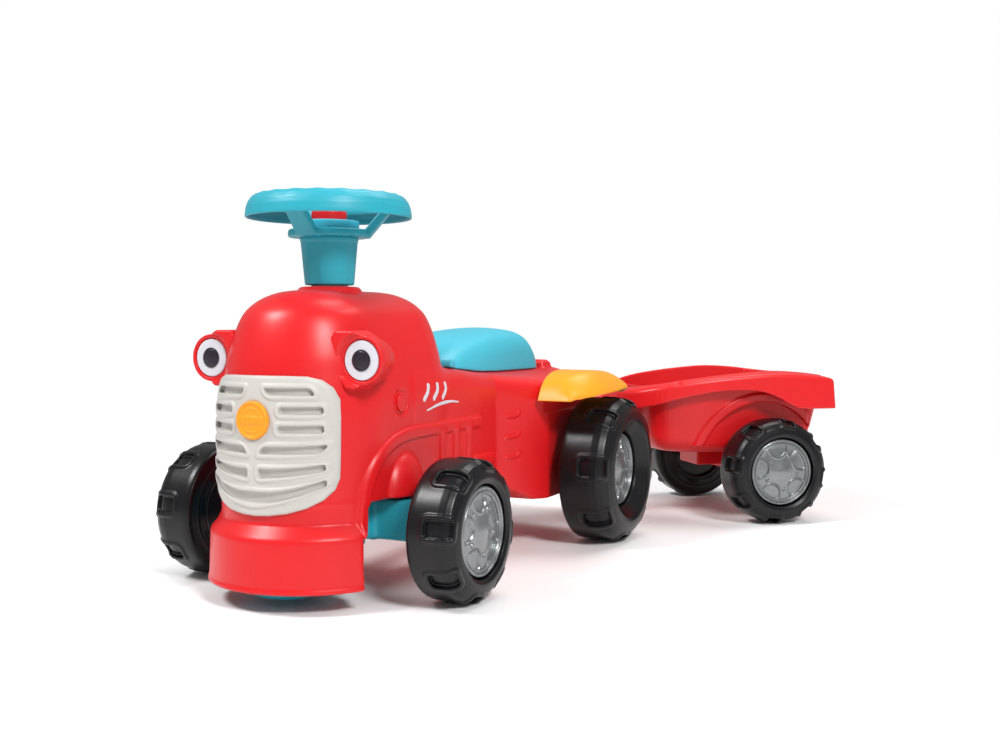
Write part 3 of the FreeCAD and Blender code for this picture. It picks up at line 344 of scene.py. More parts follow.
PUPIL = plastic("pupil_print", (0.016, 0.010, 0.018), roughness=0.28, variation=0.10, slot="white_print")
NYLON = plastic("nylon", (0.72, 0.72, 0.68), roughness=0.45)
VINYL = plastic("soft_vinyl", (0.45, 0.45, 0.42), roughness=0.6)
STEEL = plastic("steel", (0.52, 0.52, 0.54), roughness=0.28, grain=0.12, grain_scale=400.0, metallic=1.0)


def finish_piece(item, material, body, *nodes):
    item.data.materials.clear()
    item.data.materials.append(material)
    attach(item, body)
    if nodes:
        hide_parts(*nodes)
    return item


def dress(material, *nodes):
    """Gives carried-over CAD nodes their material."""
    for name in nodes:
        data = frame["nodes"][name].data
        data.materials.clear()
        data.materials.append(material)


# --- tractor body -----------------------------------------------------------------------------------------

HOOD_AXES = (-30.0, 56.0)
HOOD_RADIUS = 81.0
HOOD_FOOT, HOOD_TOP = 20.0, 279.0
HOOD_OUTLINE = ((HOOD_RADIUS, HOOD_FOOT), (HOOD_RADIUS, 120.0), (80.6, 166.0), (78.9, 190.0),
                (76.6, 205.0), (73.6, 221.0), (67.6, 241.0), (61.0, 255.5), (53.5, 264.0), (43.5, 270.8),
                (30.0, 276.0), (15.0, 278.4), (0.0, HOOD_TOP))
SILL = 92.0
DECK_LINE = ((20, 203.5), (60, 203.5), (118, 203), (145, 200.5), (180, 197), (220, 195.2), (280, 194.4),
             (398, 194.4))
DECK_LIP = ((-70, 180), (59, 180), (59, 196), (57.5, 201.2), (53, 203.8), (44, 204.0), (-70, 204.0))
BODY_REAR = 398.0
SIDE = 80.0
BOX_SIDE = 106.0
DECK_FALL_START, DECK_FALL = 58.0, 0.24
BUMPER_HALF_ANGLE = math.radians(65.5)
BUMPER_FOOT = 18.4
PLUG_LINE, PLUG_HEIGHT = -3.0, 177.0
LOUVRES = (148.0, 126.0, 104.0)
FLUTES = (70.0, 97.0, 124.0)


def capsule_radius(g):
    """Distance from the hood's upright middle plane strip, which runs between its two axes."""
    y = np.maximum(HOOD_AXES[0] - g.y, 0) + np.maximum(g.y - HOOD_AXES[1], 0)
    return length(g.x, y)


def hood_field(g, grow=0.0):
    outline = smooth_curve(HOOD_OUTLINE[1:], 6)
    closed = [(-40.0, HOOD_FOOT), HOOD_OUTLINE[0]] + outline + [(-40.0, HOOD_TOP)]
    return lookup(closed, capsule_radius(g), g.z) - grow


def waist_field(g):
    """Waist behind the hood and the wider box between the rear wheels, under a softly rounded deck."""
    waist = polygon(g.x, g.y, [(-120, 20), (SIDE, 20), (SIDE, 150), (SIDE - 1.5, 190),
                               (SIDE - 1.5, BODY_REAR - 10), (SIDE - 10, BODY_REAR), (-120, BODY_REAR)])
    plan = [(-120, 150), (SIDE - 2, 150), (SIDE - 1.5, 188), (BOX_SIDE, 264), (BOX_SIDE, BODY_REAR - 26),
            (97, BODY_REAR - 8), (80, BODY_REAR), (-120, BODY_REAR)]
    box = polygon(g.x, g.y, plan)
    deck = (g.z - along_curve(g.y, DECK_LINE) + DECK_FALL * np.maximum(g.x - DECK_FALL_START, 0)) * 0.97
    body = overlap(union(waist, box, 2.0), deck, 17.0)
    # low rise across the deck behind the seat
    lip = overlap(lookup(DECK_LIP, g.x + 0 * g.z, g.z + 0 * g.x), slab(g.y, 354.6, 380), 7.0)
    body = union(body, lip, 3.0)
    # the top corner of the box is cut back under each fender
    ledge = overlap(overlap(103.5 - g.x, 150 - g.z), 246 - g.y, 2.0)
    body = carve(body, overlap(ledge, g.x - 140), 1.0)
    sill_line = [(-200, SILL), (118, SILL), (150, SILL - 3), (205, 71), (243, 55), (262, 54), (500, 56)]
    sill = path(g.y, g.z, sill_line)
    profile = np.interp(g.y, [p[0] for p in sill_line], [p[1] for p in sill_line])
    below = np.where(g.z < profile, sill, -sill)
    return overlap(body, below, 3.0)


def bumper_field(g):
    """Flared skirt round the nose with its bottom lip, and the hood's wall behind its ends."""
    nose = length(g.x, g.y - HOOD_AXES[0])
    skirt = lookup([(81, SILL + 2), (81, 76), (89.2, 66.8), (90.6, 64.8), (91.2, 62), (92.6, 22.8),
                    (93.6, 21.6), (93.6, BUMPER_FOOT), (90.5, 18.2), (88.5, 40), (86.5, 60), (78, 70),
                    (78, SILL + 2)], nose, g.z)
    ends = g.x * math.cos(BUMPER_HALF_ANGLE) + (g.y - HOOD_AXES[0]) * math.sin(BUMPER_HALF_ANGLE)
    skirt = overlap(skirt, ends, 5.0)
    wall = overlap(slab(hood_field(g), -6, 0), slab(g.y, -74, -58), 5.0)
    wall = overlap(wall, slab(g.z, BUMPER_FOOT, SILL + 6), 7.0)
    return union(skirt, wall, 3.0)


def body_field(g):
    hood = overlap(hood_field(g), SILL - g.z, 3.0)
    body = union(hood, waist_field(g), np.interp(g.z, [150, 175], [0.5, 9.0]))
    radius = length(g.x, g.y)
    collar = lookup([(-20, 270), (30, 270), (29.4, 279.4), (28, 281.6), (25.6, 282.4),
                     (-20, 282.5)], radius, g.z)
    body = union(body, collar, 3.5)
    return union(body, bumper_field(g), 1.6)


ARCH_LINE = ((-61, 66), (-60, 80), (-57.5, 98), (-53, 112), (-43, 127), (-26, 139), (-4, 145.5), (30, 147.5),
             (148, 147.5))


def side_details(g, body):
    """Raised arch, flutes, bulge, bump, louvre lines and plug seat on the +X side."""
    on_side = body
    outboard = g.x > 55
    band = path(g.y, g.z, smooth_curve(ARCH_LINE, 6))
    rope = length(np.maximum(band - 2.9, 0), on_side) - 3.0
    body = union(body, np.where(outboard, rope, FAR), 1.8)
    for centre in FLUTES:
        flute = path(g.y, g.z, [(centre, 100), (centre, 143)])
        body = union(body, np.where(outboard, length(np.maximum(flute - 3.0, 0), on_side) - 3.6, FAR), 1.6)
    bump = path(g.y, g.z, [(140, 108.5), (180, 107)])
    body = union(body, np.where(outboard, length(np.maximum(bump - 2.0, 0), on_side) - 3.3, FAR), 2.0)
    dome = length((g.y - 2) / 31, (g.z - 90) / 41, (g.x - 78) / 17) - 1
    dome = overlap(dome * 15, SILL + 0.5 - g.z, 2.0)
    body = union(body, dome, 1.5)
    # louvre lines on the flare, each with its end turned up
    for height in LOUVRES:
        line = path(g.y, g.z, [(203, height), (217, height + 0.8), (221, height + 4.0)])
        body = union(body, np.where(g.x > 70, length(line * 0.9, on_side) - 1.8, FAR), 0.5)
    ring = length(g.y - PLUG_LINE, g.z - PLUG_HEIGHT)
    seat = np.where(g.x > 60, length(ring - 10.2, body) - 1.9, FAR)
    return carve(body, seat, 0.4)


def build_body():
    g = Grid((0, -132, 12), (112, 462, 292), 1.25)
    body = side_details(g, body_field(g))
    # storage bin under the seat
    bin_space = rounded_rect(g.x, g.y - 250, 50, 85, 12)
    body = carve(body, overlap(bin_space, 110 - g.z, 6.0), 2.0)
    # hitch shelf with its rib
    shelf = np.where(g.y > HITCH_LINE, length(g.x, g.y - HITCH_LINE), g.x) - 23.5
    shelf = overlap(overlap(shelf, slab(g.z, 128.3, 137.7), 1.5), 390 - g.y, 1.0)
    rib = overlap(slab(g.x, -3, 3), (g.z - 132) + 0 * g.y)
    rib = overlap(rib, ((g.y - BODY_REAR) - (g.z - 96)) * 0.707, 1.0)
    rib = overlap(rib, 390 - g.y)
    body = union(body, union(shelf, rib, 2.5), 3.0)
    # holes for the hitch pin, the steering shaft and the rear axle
    body = carve(body, overlap(length(g.x, g.y - HITCH_LINE) - 6.2, 120 - g.z))
    body = carve(body, overlap(length(g.x, g.y) - 14.2, 265 - g.z))
    axle = length(g.y - REAR_LINE, g.z - BIG_RADIUS)
    body = union(body, overlap(axle - 13, g.x - 107.5, 1.5), 2.0)
    body = carve(body, overlap(axle - 4.3, 95 - g.x))
    return mould("tractor_body", g, body, mirrored=True)


finish_piece(build_body(), RED, "tractor", "body_shell")
# --- grille, badge, lamps, plugs and side decal -----------------------------------------------------------

GRILLE_THICKNESS = 4.0
NOSE = HOOD_AXES[0] - HOOD_RADIUS
BADGE_HEIGHT = 166.0
BADGE_RADIUS = 16.7


def slot(g, low_x, high_x, height, half=3.2, slant=0.0, bend=0.0, taper=0.0):
    """Distance to a slot in the grille's front view; it may bend up, narrow outwards and start on a slant."""
    rise = g.z - height - bend * g.x * g.x
    along = g.x - slant * rise
    narrow = np.maximum(half - taper * np.maximum(g.x, 0), 2.0)
    return rounded_rect(along - (low_x + high_x) / 2, rise * (half / narrow), (high_x - low_x) / 2, half, 2.6)


def build_grille():
    g = Grid((0, -118, 78), (76, -58, 210), 0.65)
    skin = hood_field(g)
    front = GRILLE_THICKNESS
    corners = [(-40, 83.5), (0, 83.5), (14, 84.2), (30, 86.5), (45, 91), (56, 97.5), (63, 106),
               (65.8, 116), (66.2, 140), (66.2, 168), (65.2, 184), (61, 194), (54, 200.5), (44, 203.6),
               (30, 204.2), (-40, 204.6)]
    mask = overlap(slab(skin, -0.5, front), polygon(g.x, g.z, corners), 3.2)
    slots = union(slot(g, 11.5, 50, 190.5, slant=-0.55), slot(g, 24.5, 57.5, 174.5))
    slots = union(slots, slot(g, 23.5, 58, 158.5, bend=0.0001))
    slots = union(slots, slot(g, 8, 58.5, 140.5, half=3.4, slant=0.75, bend=0.0004))
    slots = union(slots, slot(g, 5.5, 59, 120.5, half=4.6, bend=0.0016, taper=0.03))
    slots = union(slots, slot(g, -60, 59.5, 99.5, half=5.6, bend=0.0038, taper=0.047))
    lips = length(np.maximum(np.abs(slots - 1.6) - 0.6, 0), skin - front) - 1.25
    mask = union(mask, np.where(slots > -2, lips, FAR), 1.6)
    mask = carve(mask, overlap(slots, front - 3.4 - skin, 1.0), 0.9)
    seat = length(g.x, g.z - BADGE_HEIGHT) - BADGE_RADIUS - 0.5
    mask = carve(mask, overlap(seat, front - 0.4 - skin), 0.5)
    return mould("front_mask", g, mask, mirrored=True)


def build_badge():
    """Round badge with a raised border and a plain sheaf of five bars across a band."""
    g = Grid((-18, -6, -18), (18, 2, 18), 0.4)
    radius = length(g.x, g.z)
    out = -g.y
    disc = overlap(radius - BADGE_RADIUS + 0.1, slab(out, -1.5, 2.0), 0.8)
    disc = union(disc, length(np.maximum(np.abs(radius - 15.0) - 0.5, 0), out - 2.1) - 0.6, 0.5)
    disc = union(disc, length(np.maximum(np.abs(radius - 10.2) - 0.2, 0), out - 2.0) - 0.5, 0.5)
    band = rounded_rect(g.x, g.z, 13.0, 3.7, 1.5)
    disc = union(disc, overlap(band, slab(out, 0, 2.5), 0.5), 0.4)
    for step in range(-2, 3):
        bar = path(g.x, g.z, [(4.6 * step - 0.9, -1.7), (4.6 * step + 0.9, 1.7)])
        disc = union(disc, length(np.maximum(bar - 0.5, 0), out - 2.6) - 0.55, 0.3)
    place = TRACTOR @ moved(0, NOSE - GRILLE_THICKNESS + 0.7, BADGE_HEIGHT)
    return mould("badge", g, disc, place=place)


LAMP = (81.8, -70.0, 217.0)
LAMP_DISC_RADIUS = 17.3


def build_lamp_housing():
    """Tube that tapers back into the hood, with a wedge-shaped block bridging to the hood's cheek."""
    g = Grid((44, -82, 186), (106, -20, 246), 0.9)
    across, back, up = g.x - LAMP[0], g.y - LAMP[1], g.z - LAMP[2]
    radius = length(across, up)
    tube = lookup([(-20, -3), (20.3, -3), (21.5, -1.5), (21.5, 6), (20.6, 18), (17.5, 33), (11, 46),
                   (-20, 50)], length(across + 0.16 * np.maximum(back, 0), up), back)
    wedge = polygon(across, up, [(-30, 19), (-25, 25.5), (-8, 25.5), (2, 20), (2, -20), (-6, -25.5),
                                 (-14, -25.5), (-27, -12), (-30, -2)])
    wedge = overlap(wedge, slab(back, -5.0, 24), 3.0)
    pod = union(tube, wedge, 1.5)
    seat = overlap(radius - LAMP_DISC_RADIUS - 1.0, back - 0.6)
    pod = carve(pod, seat, 0.6)
    pod = carve(pod, overlap(radius - LAMP_DISC_RADIUS - 3.4 - 0.6 * np.maximum(-back, 0), back + 1.6), 0.6)
    return surface(g, carve(pod, hood_field(g) + 1.5))


def build_lamp_disc():
    """Plain round lamp face: a shallow bezel ring round a low dome."""
    g = Grid((-18, -5, -18), (18, 2, 18), 0.5)
    radius = length(g.x, g.z)
    out = -g.y
    disc = overlap(radius - LAMP_DISC_RADIUS + 0.1, slab(out, -0.8, 1.0), 0.6)
    dome = length(radius, out + 60) - 61.4
    return surface(g, union(disc, overlap(overlap(radius - 15.8, dome), -out - 0.5, 0.3), 0.4))


def build_lens():
    """Dark lens in the middle of the lamp face, with two faint optic rings."""
    g = Grid((-11, -4, -11), (11, 1, 11), 0.35)
    radius = length(g.x, g.z)
    out = -g.y
    lens = overlap(overlap(radius - 9.4, length(radius, out + 30) - 31.9), -out, 0.4)
    for ring in (4.0, 7.2):
        lens = union(lens, length(radius - ring, out - 1.75 + ring * ring / 64) - 0.35, 0.3)
    return surface(g, lens)


def build_plug():
    g = Grid((-3, -10, -10), (3, 10, 10), 0.45)
    radius = length(g.y, g.z)
    cap = overlap(radius - 8.7, slab(g.x, -2.5, 1.1), 0.8)
    return surface(g, carve(cap, length(radius - 7.4, g.x - 1.2) - 0.5, 0.3))


def build_decal():
    """Plain printed stripes on the hood's side: three slanted dashes over a tapering swoosh."""
    g = Grid((60, 22, 158), (90, 116, 200), 0.5)
    shape = FAR
    for start, lean in ((34, 1.0), (52, 0.9), (70, 0.8)):
        dash = smooth_curve([(start, 177), (start + 7, 184), (start + 9 * lean, 190)], 4)
        shape = np.minimum(shape, path(g.y, g.z, dash) - 2.2)
    swoosh = smooth_curve([(40, 166.5), (64, 171), (88, 172), (104, 170.5)], 5)
    shape = np.minimum(shape, path(g.y, g.z, swoosh) - 1.8 + np.abs(g.y - 72) * 0.03)
    return surface(g, overlap(slab(body_field(g), -1.5, 0.5), shape, 0.2))


finish_piece(build_grille(), GRILLE, "tractor", "front_grille")
finish_piece(build_badge(), YELLOW, "tractor", "grille_badge")
lamp_pod = build_lamp_housing()
lamp_face = build_lamp_disc()
lamp_lens = build_lens()
plug = build_plug()
stripes = build_decal()
for side, turn in SIDES:
    base = TRACTOR @ turn
    lamp = base @ moved(*LAMP)
    for name, shape, place, material, nodes in (
            ("lamp_pod", lamp_pod, base, RED, ["lamp_housing"]),
            ("lamp_face", lamp_face, lamp @ moved(0, 0.2, 0), WHITE, ["lamp_disc"]),
            ("lamp_lens", lamp_lens, lamp @ moved(0, -0.9, 0), PUPIL, []),
            ("plug", plug, base @ moved(80.6, PLUG_LINE, PLUG_HEIGHT), RED, ["side_plug"]),
            ("side_stripes", stripes, base, WHITE, [])):
        item = mesh_object(f"{name}_{side}", *shape, place)
        finish_piece(item, material, "tractor", *[f"{node_name}_{side}" for node_name in nodes])

# --- rear fenders ------------------------------------------------------------------------------------------

FENDER_CROWN = [(230, 151), (237, 162), (243, 173), (251, 182.5), (262, 189.5), (278, 194), (300, 195.5),
                (338, 193), (362, 186), (377, 176), (384, 171)]
FENDER_FALL = [(230, 0), (239, 0), (245, 6), (251, 12.5), (262, 18), (272, 20), (295, 21.5), (330, 18),
               (362, 10), (380, 3)]
FENDER_INNER = 104.4
FENDER_FOOT = 163.6
FENDER_EDGE = [(236, 140), (246, 148), (256, 155), (268, 161), (284, 165), (304, 166), (345, 166),
               (366, 160), (380, 148)]
FENDER_SHEET = 4.4


def build_fender():
    """Mudguard: a crowned sheet that rolls down to its outer lip."""
    g = Grid((103, 228, 146), (170, 386, 200), 0.8)
    inside = np.clip(1 - (along_curve(g.y, FENDER_EDGE) - g.x) / 27, 0, 1)
    top = along_curve(g.y, FENDER_CROWN) - along_curve(g.y, FENDER_FALL) * inside * inside
    outer = [(x, y) for y, x in smooth_curve(FENDER_EDGE, 4)]
    plan = polygon(g.x, g.y, [(FENDER_INNER, 236)] + outer + [(FENDER_INNER, 380)])
    sheet = slab(g.z - top, -FENDER_SHEET - 1.2 * inside, 0) * 0.74
    apron = overlap(slab(g.x, FENDER_INNER, FENDER_INNER + 3), overlap(g.z - top, top - 16 - g.z, 1.0))
    rolled = union(overlap(plan, sheet, 2.6), overlap(plan, apron), 1.0)
    return surface(g, overlap(rolled, FENDER_FOOT - g.z, 1.0))


fender = build_fender()
for side, turn in SIDES:
    item = mesh_object(f"fender_{side}", *fender, TRACTOR @ turn)
    finish_piece(item, YELLOW, "tractor", f"rear_fender_{side}")

# --- wheels and hubcaps -----------------------------------------------------------------------------------

SMALL_WHEEL = {"radius": SMALL_RADIUS, "width": 48.0, "lug_middle": 34.0, "lug_half": 18.0, "lug_side": 11.2}
BIG_WHEEL = {"radius": BIG_RADIUS, "width": 60.0, "lug_middle": 42.0, "lug_half": 20.0, "lug_side": 13.6}
HUB_SEAT = 34.0
LUGS = 8
RIDGE = 1.5


def wheel_outline(radius, width):
    """Half section of the tyre under its ridges, from the axle hole round to the hubcap's seat."""
    base = radius - RIDGE
    inner = [(0, 8), (3.5, 12), (3.5, radius * 0.52), (0.6, radius * 0.57), (0.2, base - 10), (0.5, base - 5),
             (1.6, base - 2.0), (4.0, base - 0.6), (8, base)]
    if radius > 70:
        outer = [(width - 22, base), (width - 15, base - 1.2), (width - 8.5, base - 4.4),
                 (width - 3.8, base - 9.6), (width - 1.2, base - 16.5), (width - 0.6, base - 22.5),
                 (width - 2.2, base - 26.5), (width - 13.8, 43.0), (HUB_SEAT, 42.2)]
    else:
        outer = [(width - 17, base), (width - 11, base - 1.0), (width - 6, base - 3.8),
                 (width - 2.4, base - 8.8), (width - 0.8, base - 14.5), (width - 0.5, 46.2),
                 (width - 1.8, 44.6), (width - 2.6, 42.4), (HUB_SEAT, 42.2)]
    return inner + outer + [(HUB_SEAT, 8)]


def build_wheel(radius, width, lug_middle, lug_half, lug_side):
    """Blow-moulded tyre: eight lugs, each a raised border round a pocket that notches the outer shoulder."""
    g = Grid((-1, -radius - 1, -radius - 1), (width + 1, radius + 1, radius + 1), 0.8)
    r = length(g.y, g.z)
    tyre = lookup(wheel_outline(radius, width), g.x + 0 * r, r + 0 * g.x)
    tyre = np.where(r < 14, overlap(slab(g.x, 3.5, HUB_SEAT), 5.0 - r), tyre)
    around = fold(np.arctan2(g.z, g.y), LUGS) * np.minimum(r, radius)
    along = g.x + np.maximum(radius - 3.0 - r, 0) * 0.8
    lug = rounded_rect(along - lug_middle, around, lug_half, lug_side, 7.0)
    outer_part = r > radius - 24
    pocket = overlap(lug + 2.9, -(tyre + 3.4), 2.2)
    tread = carve(tyre, np.where(outer_part, pocket, FAR), 1.8)
    ridge = length(np.maximum(np.abs(lug + 1.0) - 0.7, 0), tyre + 0.2) - 1.5
    tread = union(tread, np.where(outer_part, ridge, FAR), 1.6)
    # seam rings on the inner wall
    for ring in (radius - 16, radius * 0.62):
        tread = carve(tread, length(r - ring, g.x - 0.2) - 0.8, 0.6)
    return surface(g, tread)


def build_hubcap():
    """Domed cap: double border ring, five hollows that leave a star, and five small bosses."""
    g = Grid((33, -42, -42), (48, 42, 42), 0.5)
    r = length(g.y, g.z)
    angle = np.arctan2(g.z, g.y)
    height = 41.4 + 4.6 * np.exp(-((r / 14.0) ** 2)) + 1.0 * np.clip((30 - r) / 10, 0, 1)
    share = fold(angle + math.pi / 5, 5)
    scoop = length(r * np.cos(share) - 29.5, r * np.sin(share)) - 12.0
    height = height - 0.8 * np.clip(0.5 - scoop / 1.2, 0, 1)
    height = height + 1.7 * np.exp(-((scoop / 1.0) ** 2)) * (r < 34.4)
    spot = fold(angle, 5)
    boss = length(r * np.cos(spot) - 21.5, r * np.sin(spot))
    height = height + 2.0 * np.clip(1.25 - (boss / 2.1) ** 2, 0, 1)
    border = lookup([(33.0, 30), (33.6, 43.2), (34.6, 43.9), (35.6, 43.2), (36.2, 41.8), (37.0, 42.4),
                     (37.8, 44.4), (39.2, 44.4), (40.2, 43.4), (40.3, 40), (40.3, 34.3),
                     (33, 34.3)], r, g.x)
    cap = overlap(np.maximum(g.x - height, 34.3 - g.x) * 0.8, r - 34.2)
    return surface(g, union(cap, border, 0.8))


small_wheel = build_wheel(**SMALL_WHEEL)
big_wheel = build_wheel(**BIG_WHEEL)
hubcap = build_hubcap()
AXLES = (("front", small_wheel, (118.0, 0.0, SMALL_RADIUS), TRACTOR, -10.0),
         ("rear", big_wheel, (121.0, REAR_LINE, BIG_RADIUS), TRACTOR, -7.0),
         ("trailer", small_wheel, (96.8, TRAILER_LINE, SMALL_RADIUS), TRAILER, -9.0))
for prefix, tyre, centre, base, stored_turn in AXLES:
    for side, turn in SIDES:
        place = base @ turn @ moved(*centre) @ Matrix.Rotation(math.radians(stored_turn), 4, "X")
        wheel = f"{prefix}_{side}"
        tyre_item = mesh_object(f"{wheel}_tyre", *tyre, place)
        finish_piece(tyre_item, BLACK, f"{wheel}_roller", f"{wheel}_wheel")
        cap_item = mesh_object(f"{wheel}_cap", *hubcap, place)
        finish_piece(cap_item, HUBCAP, f"{wheel}_roller", f"{wheel}_hubcap")

# --- seat lid ---------------------------------------------------------------------------------------------

SEAT_TOP = [(100, 199), (112, 207), (124, 213), (140, 220), (162, 227), (195, 234), (235, 239.5),
            (280, 242.6), (308, 242), (326, 237.5), (340, 228.5), (348, 216), (353, 202)]
HINGE = (126, 206)
SEAT_GAP = 0.6


def build_seat():
    """Saddle-shaped lid over the bin, scooped at the front where the hood comes down."""
    g = Grid((0, 104, 194), (64, 358, 246), 1.0)
    top = along_curve(g.y, SEAT_TOP)
    foot = along_curve(g.y, DECK_LINE) + SEAT_GAP
    plan = polygon(g.x, g.y, [(-90, 110), (44, 110), (53, 114), (59, 124), (60, 150), (60, 325), (56, 341),
                              (45, 350), (-90, 352.5)])
    sides = plan + np.maximum(g.z - foot, 0) * 0.15
    crown = (g.z - top) + 7.0 * (g.x / 55) ** 2
    lid = overlap(overlap(sides, crown * 0.96, 19.0), foot - g.z, 1.0)
    knuckle = overlap(length(g.y - HINGE[0], g.z - HINGE[1]) - 5.0, slab(g.x, 40, 62.5), 2.0)
    lid = union(lid, overlap(knuckle, foot - g.z), 3.0)
    scoop = hood_field(g, 1.2)
    lid = carve(lid, scoop, 1.5)
    inside = overlap(overlap(sides + 5.0, crown + 6.0, 12.0), 150 - g.y, 4.0)
    return mould("seat", g, carve(lid, inside, 0.8), mirrored=True)


finish_piece(build_seat(), PALE_TURQUOISE, "seat", "seat_lid")

# --- steering column, wheel and horn ----------------------------------------------------------------------

COLUMN_FOOT, COLUMN_TOP = 284.0, 328.0
COLUMN_FOOT_RADIUS, COLUMN_TOP_RADIUS = 22.8, 26.8
PLATE_LOW, PLATE_TOP = 328.1, 334.1
PLATE_RADIUS = 38.0
RIM_TOP = 368.0
FINGER_BUMPS = 20
CUP_TOP = 343.6


def build_column():
    g = Grid((-28, -28, 283), (28, 28, 329), 0.7)
    radius = length(g.x, g.y)
    taper = np.interp(g.z, [COLUMN_FOOT, COLUMN_TOP], [COLUMN_FOOT_RADIUS, COLUMN_TOP_RADIUS])
    # flat facets on four sides make soft edges up the column
    facet = np.maximum(np.abs(g.x), np.abs(g.y)) * 1.04
    column = np.maximum(radius, facet) - taper
    column = overlap(column, slab(g.z, COLUMN_FOOT, COLUMN_TOP), 1.4)
    column = union(column, overlap(radius - COLUMN_TOP_RADIUS, slab(g.z, 324.5, 327.9), 0.8), 1.2)
    inside = overlap(radius - 10.3, 280 - g.z)
    hollow = overlap(radius - taper + 3.5, g.z - 319.0, 2.0)
    return mould("column", g, carve(carve(column, inside), hollow, 1.0))


RIM_SECTION = [(77.0, 346.4), (77.0, 349), (76.2, 355), (74.2, 360.2), (71.0, 364.4), (66.6, 367.2),
               (62, 366.8), (58.4, 363.8), (57, 359), (57.4, 354.6), (58.8, 354.4), (60, 358.8), (63, 363),
               (66.4, 364.2), (70, 361.4), (72.4, 357), (74.0, 352), (74.6, 347), (75.2, 346.0),
               (76.4, 345.8)]


def build_steering_wheel():
    g = Grid((-78, -78, 327.5), (78, 78, 372), 0.85)
    radius = length(g.x, g.y)
    angle = np.arctan2(g.y, g.x)
    ring = lookup(RIM_SECTION, radius, g.z)
    # finger bumps round the top of the rim
    ring = ring + 0.28 * np.cos(FINGER_BUMPS * angle) * np.clip((g.z - 358) / 8, 0, 1)
    plate = overlap(radius - PLATE_RADIUS, slab(g.z, PLATE_LOW, PLATE_TOP), 2.0)
    lip = length(radius - PLATE_RADIUS + 1.8, g.z - PLATE_TOP) - 1.2
    wheel = union(ring, union(plate, lip, 1.0))
    ribs = overlap(slab(fold(angle, 30) * radius, -0.7, 0.7), slab(radius, 29.0, 36.6), 0.4)
    wheel = carve(wheel, overlap(ribs, g.z - 329.6), 0.3)
    for turn in (-90, 30, 150):
        way = math.radians(turn)
        out = g.x * math.cos(way) + g.y * math.sin(way)
        across = -g.x * math.sin(way) + g.y * math.cos(way)
        rise = polygon(out + 0 * g.z, g.z + 0 * out, [(24, 328.6), (38, 328.6), (61, 356), (61, 363),
                                                      (54, 360), (34, 336), (24, 333)])
        spoke = overlap(rise, np.abs(across) - 10.5 + 0.06 * (out - 38), 2.0)
        groove = overlap(rise + 2.2, np.abs(across) - 6.0, 1.0)
        wheel = union(wheel, carve(spoke, overlap(groove, 36 - out), 1.0), 2.0)
    wheel = carve(wheel, overlap(radius - SHAFT_HOLE, g.z - 331))
    return mould("handlebar", g, np.maximum(wheel, g.z - RIM_TOP + 0.05))


def build_horn_cup():
    g = Grid((-29, -29, 333.5), (29, 29, 347.5), 0.55)
    radius = length(g.x, g.y)
    cup = overlap(slab(radius, 17.1, 27.9), slab(g.z, PLATE_TOP + 0.1, CUP_TOP), 1.4)
    return mould("horn_ring", g, cup)


def build_horn_button():
    g = Grid((-18, -18, 340), (18, 18, 355), 0.5)
    radius = length(g.x, g.y)
    button = overlap(radius - 16.5, np.maximum(g.z - 353.9 + (radius / 16.5) ** 2 * 1.0, 341.1 - g.z), 2.4)
    button = carve(button, length(radius - 12.0, g.z - 353.9) - 0.6, 0.5)
    button = carve(button, overlap(radius - 14.3, g.z - 349.5), 0.4)
    return mould("horn_cap", g, button)


finish_piece(build_column(), TURQUOISE, "steering", "steering_column")
finish_piece(build_steering_wheel(), TURQUOISE, "steering", "steering_wheel")
finish_piece(build_horn_cup(), PALE_TURQUOISE, "steering", "horn_cup")
finish_piece(build_horn_button(), RED, "horn", "horn_button")

# --- front cradle -----------------------------------------------------------------------------------------

CRADLE_MIDDLE, CRADLE_HALF_HEIGHT = 71.0, 19.0
CRADLE_RIBS = (20.0, 44.0, 78.0)
DISH_LINE = -64.0


def build_cradle():
    """Turning front carrier: a hollow beam with a wider middle, the shaft's socket and the skid dish."""
    g = Grid((0, -108, 4), (110, 30, 92), 1.0)
    beam = rounded_box(g.x, g.y, g.z - CRADLE_MIDDLE, (100, 16, CRADLE_HALF_HEIGHT), 4.0)
    waist = rounded_box(g.x, g.y, g.z - CRADLE_MIDDLE, (58, 25, CRADLE_HALF_HEIGHT), 6.0)
    block = union(beam, waist, 7.0)
    hollow = union(rounded_box(g.x, g.y, g.z - 60, (96.5, 12.5, 26.5), 2.0),
                   rounded_box(g.x, g.y, g.z - 60, (54.5, 21.5, 26.5), 3.0), 4.0)
    block = carve(block, hollow, 1.0)
    radius = length(g.x, g.y)
    socket = overlap(radius - 14, slab(g.z, 70.5, 89), 1.0)
    block = union(block, socket, 2.0)
    rib_side = overlap(np.abs(g.y) - 13, slab(g.z, 58, 88), 1.0)
    for rib in CRADLE_RIBS:
        block = union(block, overlap(slab(g.x, rib - 1.2, rib + 1.2), rib_side), 1.5)
    axle = length(g.y, g.z - SMALL_RADIUS)
    block = union(block, overlap(axle - 8, slab(g.x, 60, 107.8), 1.0), 1.5)
    plate = polygon(g.y, g.z, [(-80, 9), (-80, 17), (-50, 22), (-24, 60), (-20, 86), (20, 86), (20, 40),
                               (-30, 9)])
    block = union(block, overlap(slab(g.x, 22.5, 25.5), plate, 1.0), 2.5)
    dish_radius = length(g.x, g.y - DISH_LINE)
    dish = lookup([(-12, 7.0), (27, 7.0), (32, 8.4), (37, 12.0), (40, 16.2), (39.4, 17), (38, 16.6),
                   (35, 13.4), (31, 10.6), (27, 9.4), (-12, 9.4)], dish_radius, g.z)
    block = union(block, dish, 1.5)
    block = carve(block, overlap(axle - AXLE_HOLE, 30 - g.x))
    block = carve(block, overlap(radius - SHAFT_HOLE, 71.2 - g.z))
    return mould("steering_cradle", g, block, mirrored=True)


finish_piece(build_cradle(), TURQUOISE, "steering", "front_cradle")

# --- trailer ----------------------------------------------------------------------------------------------

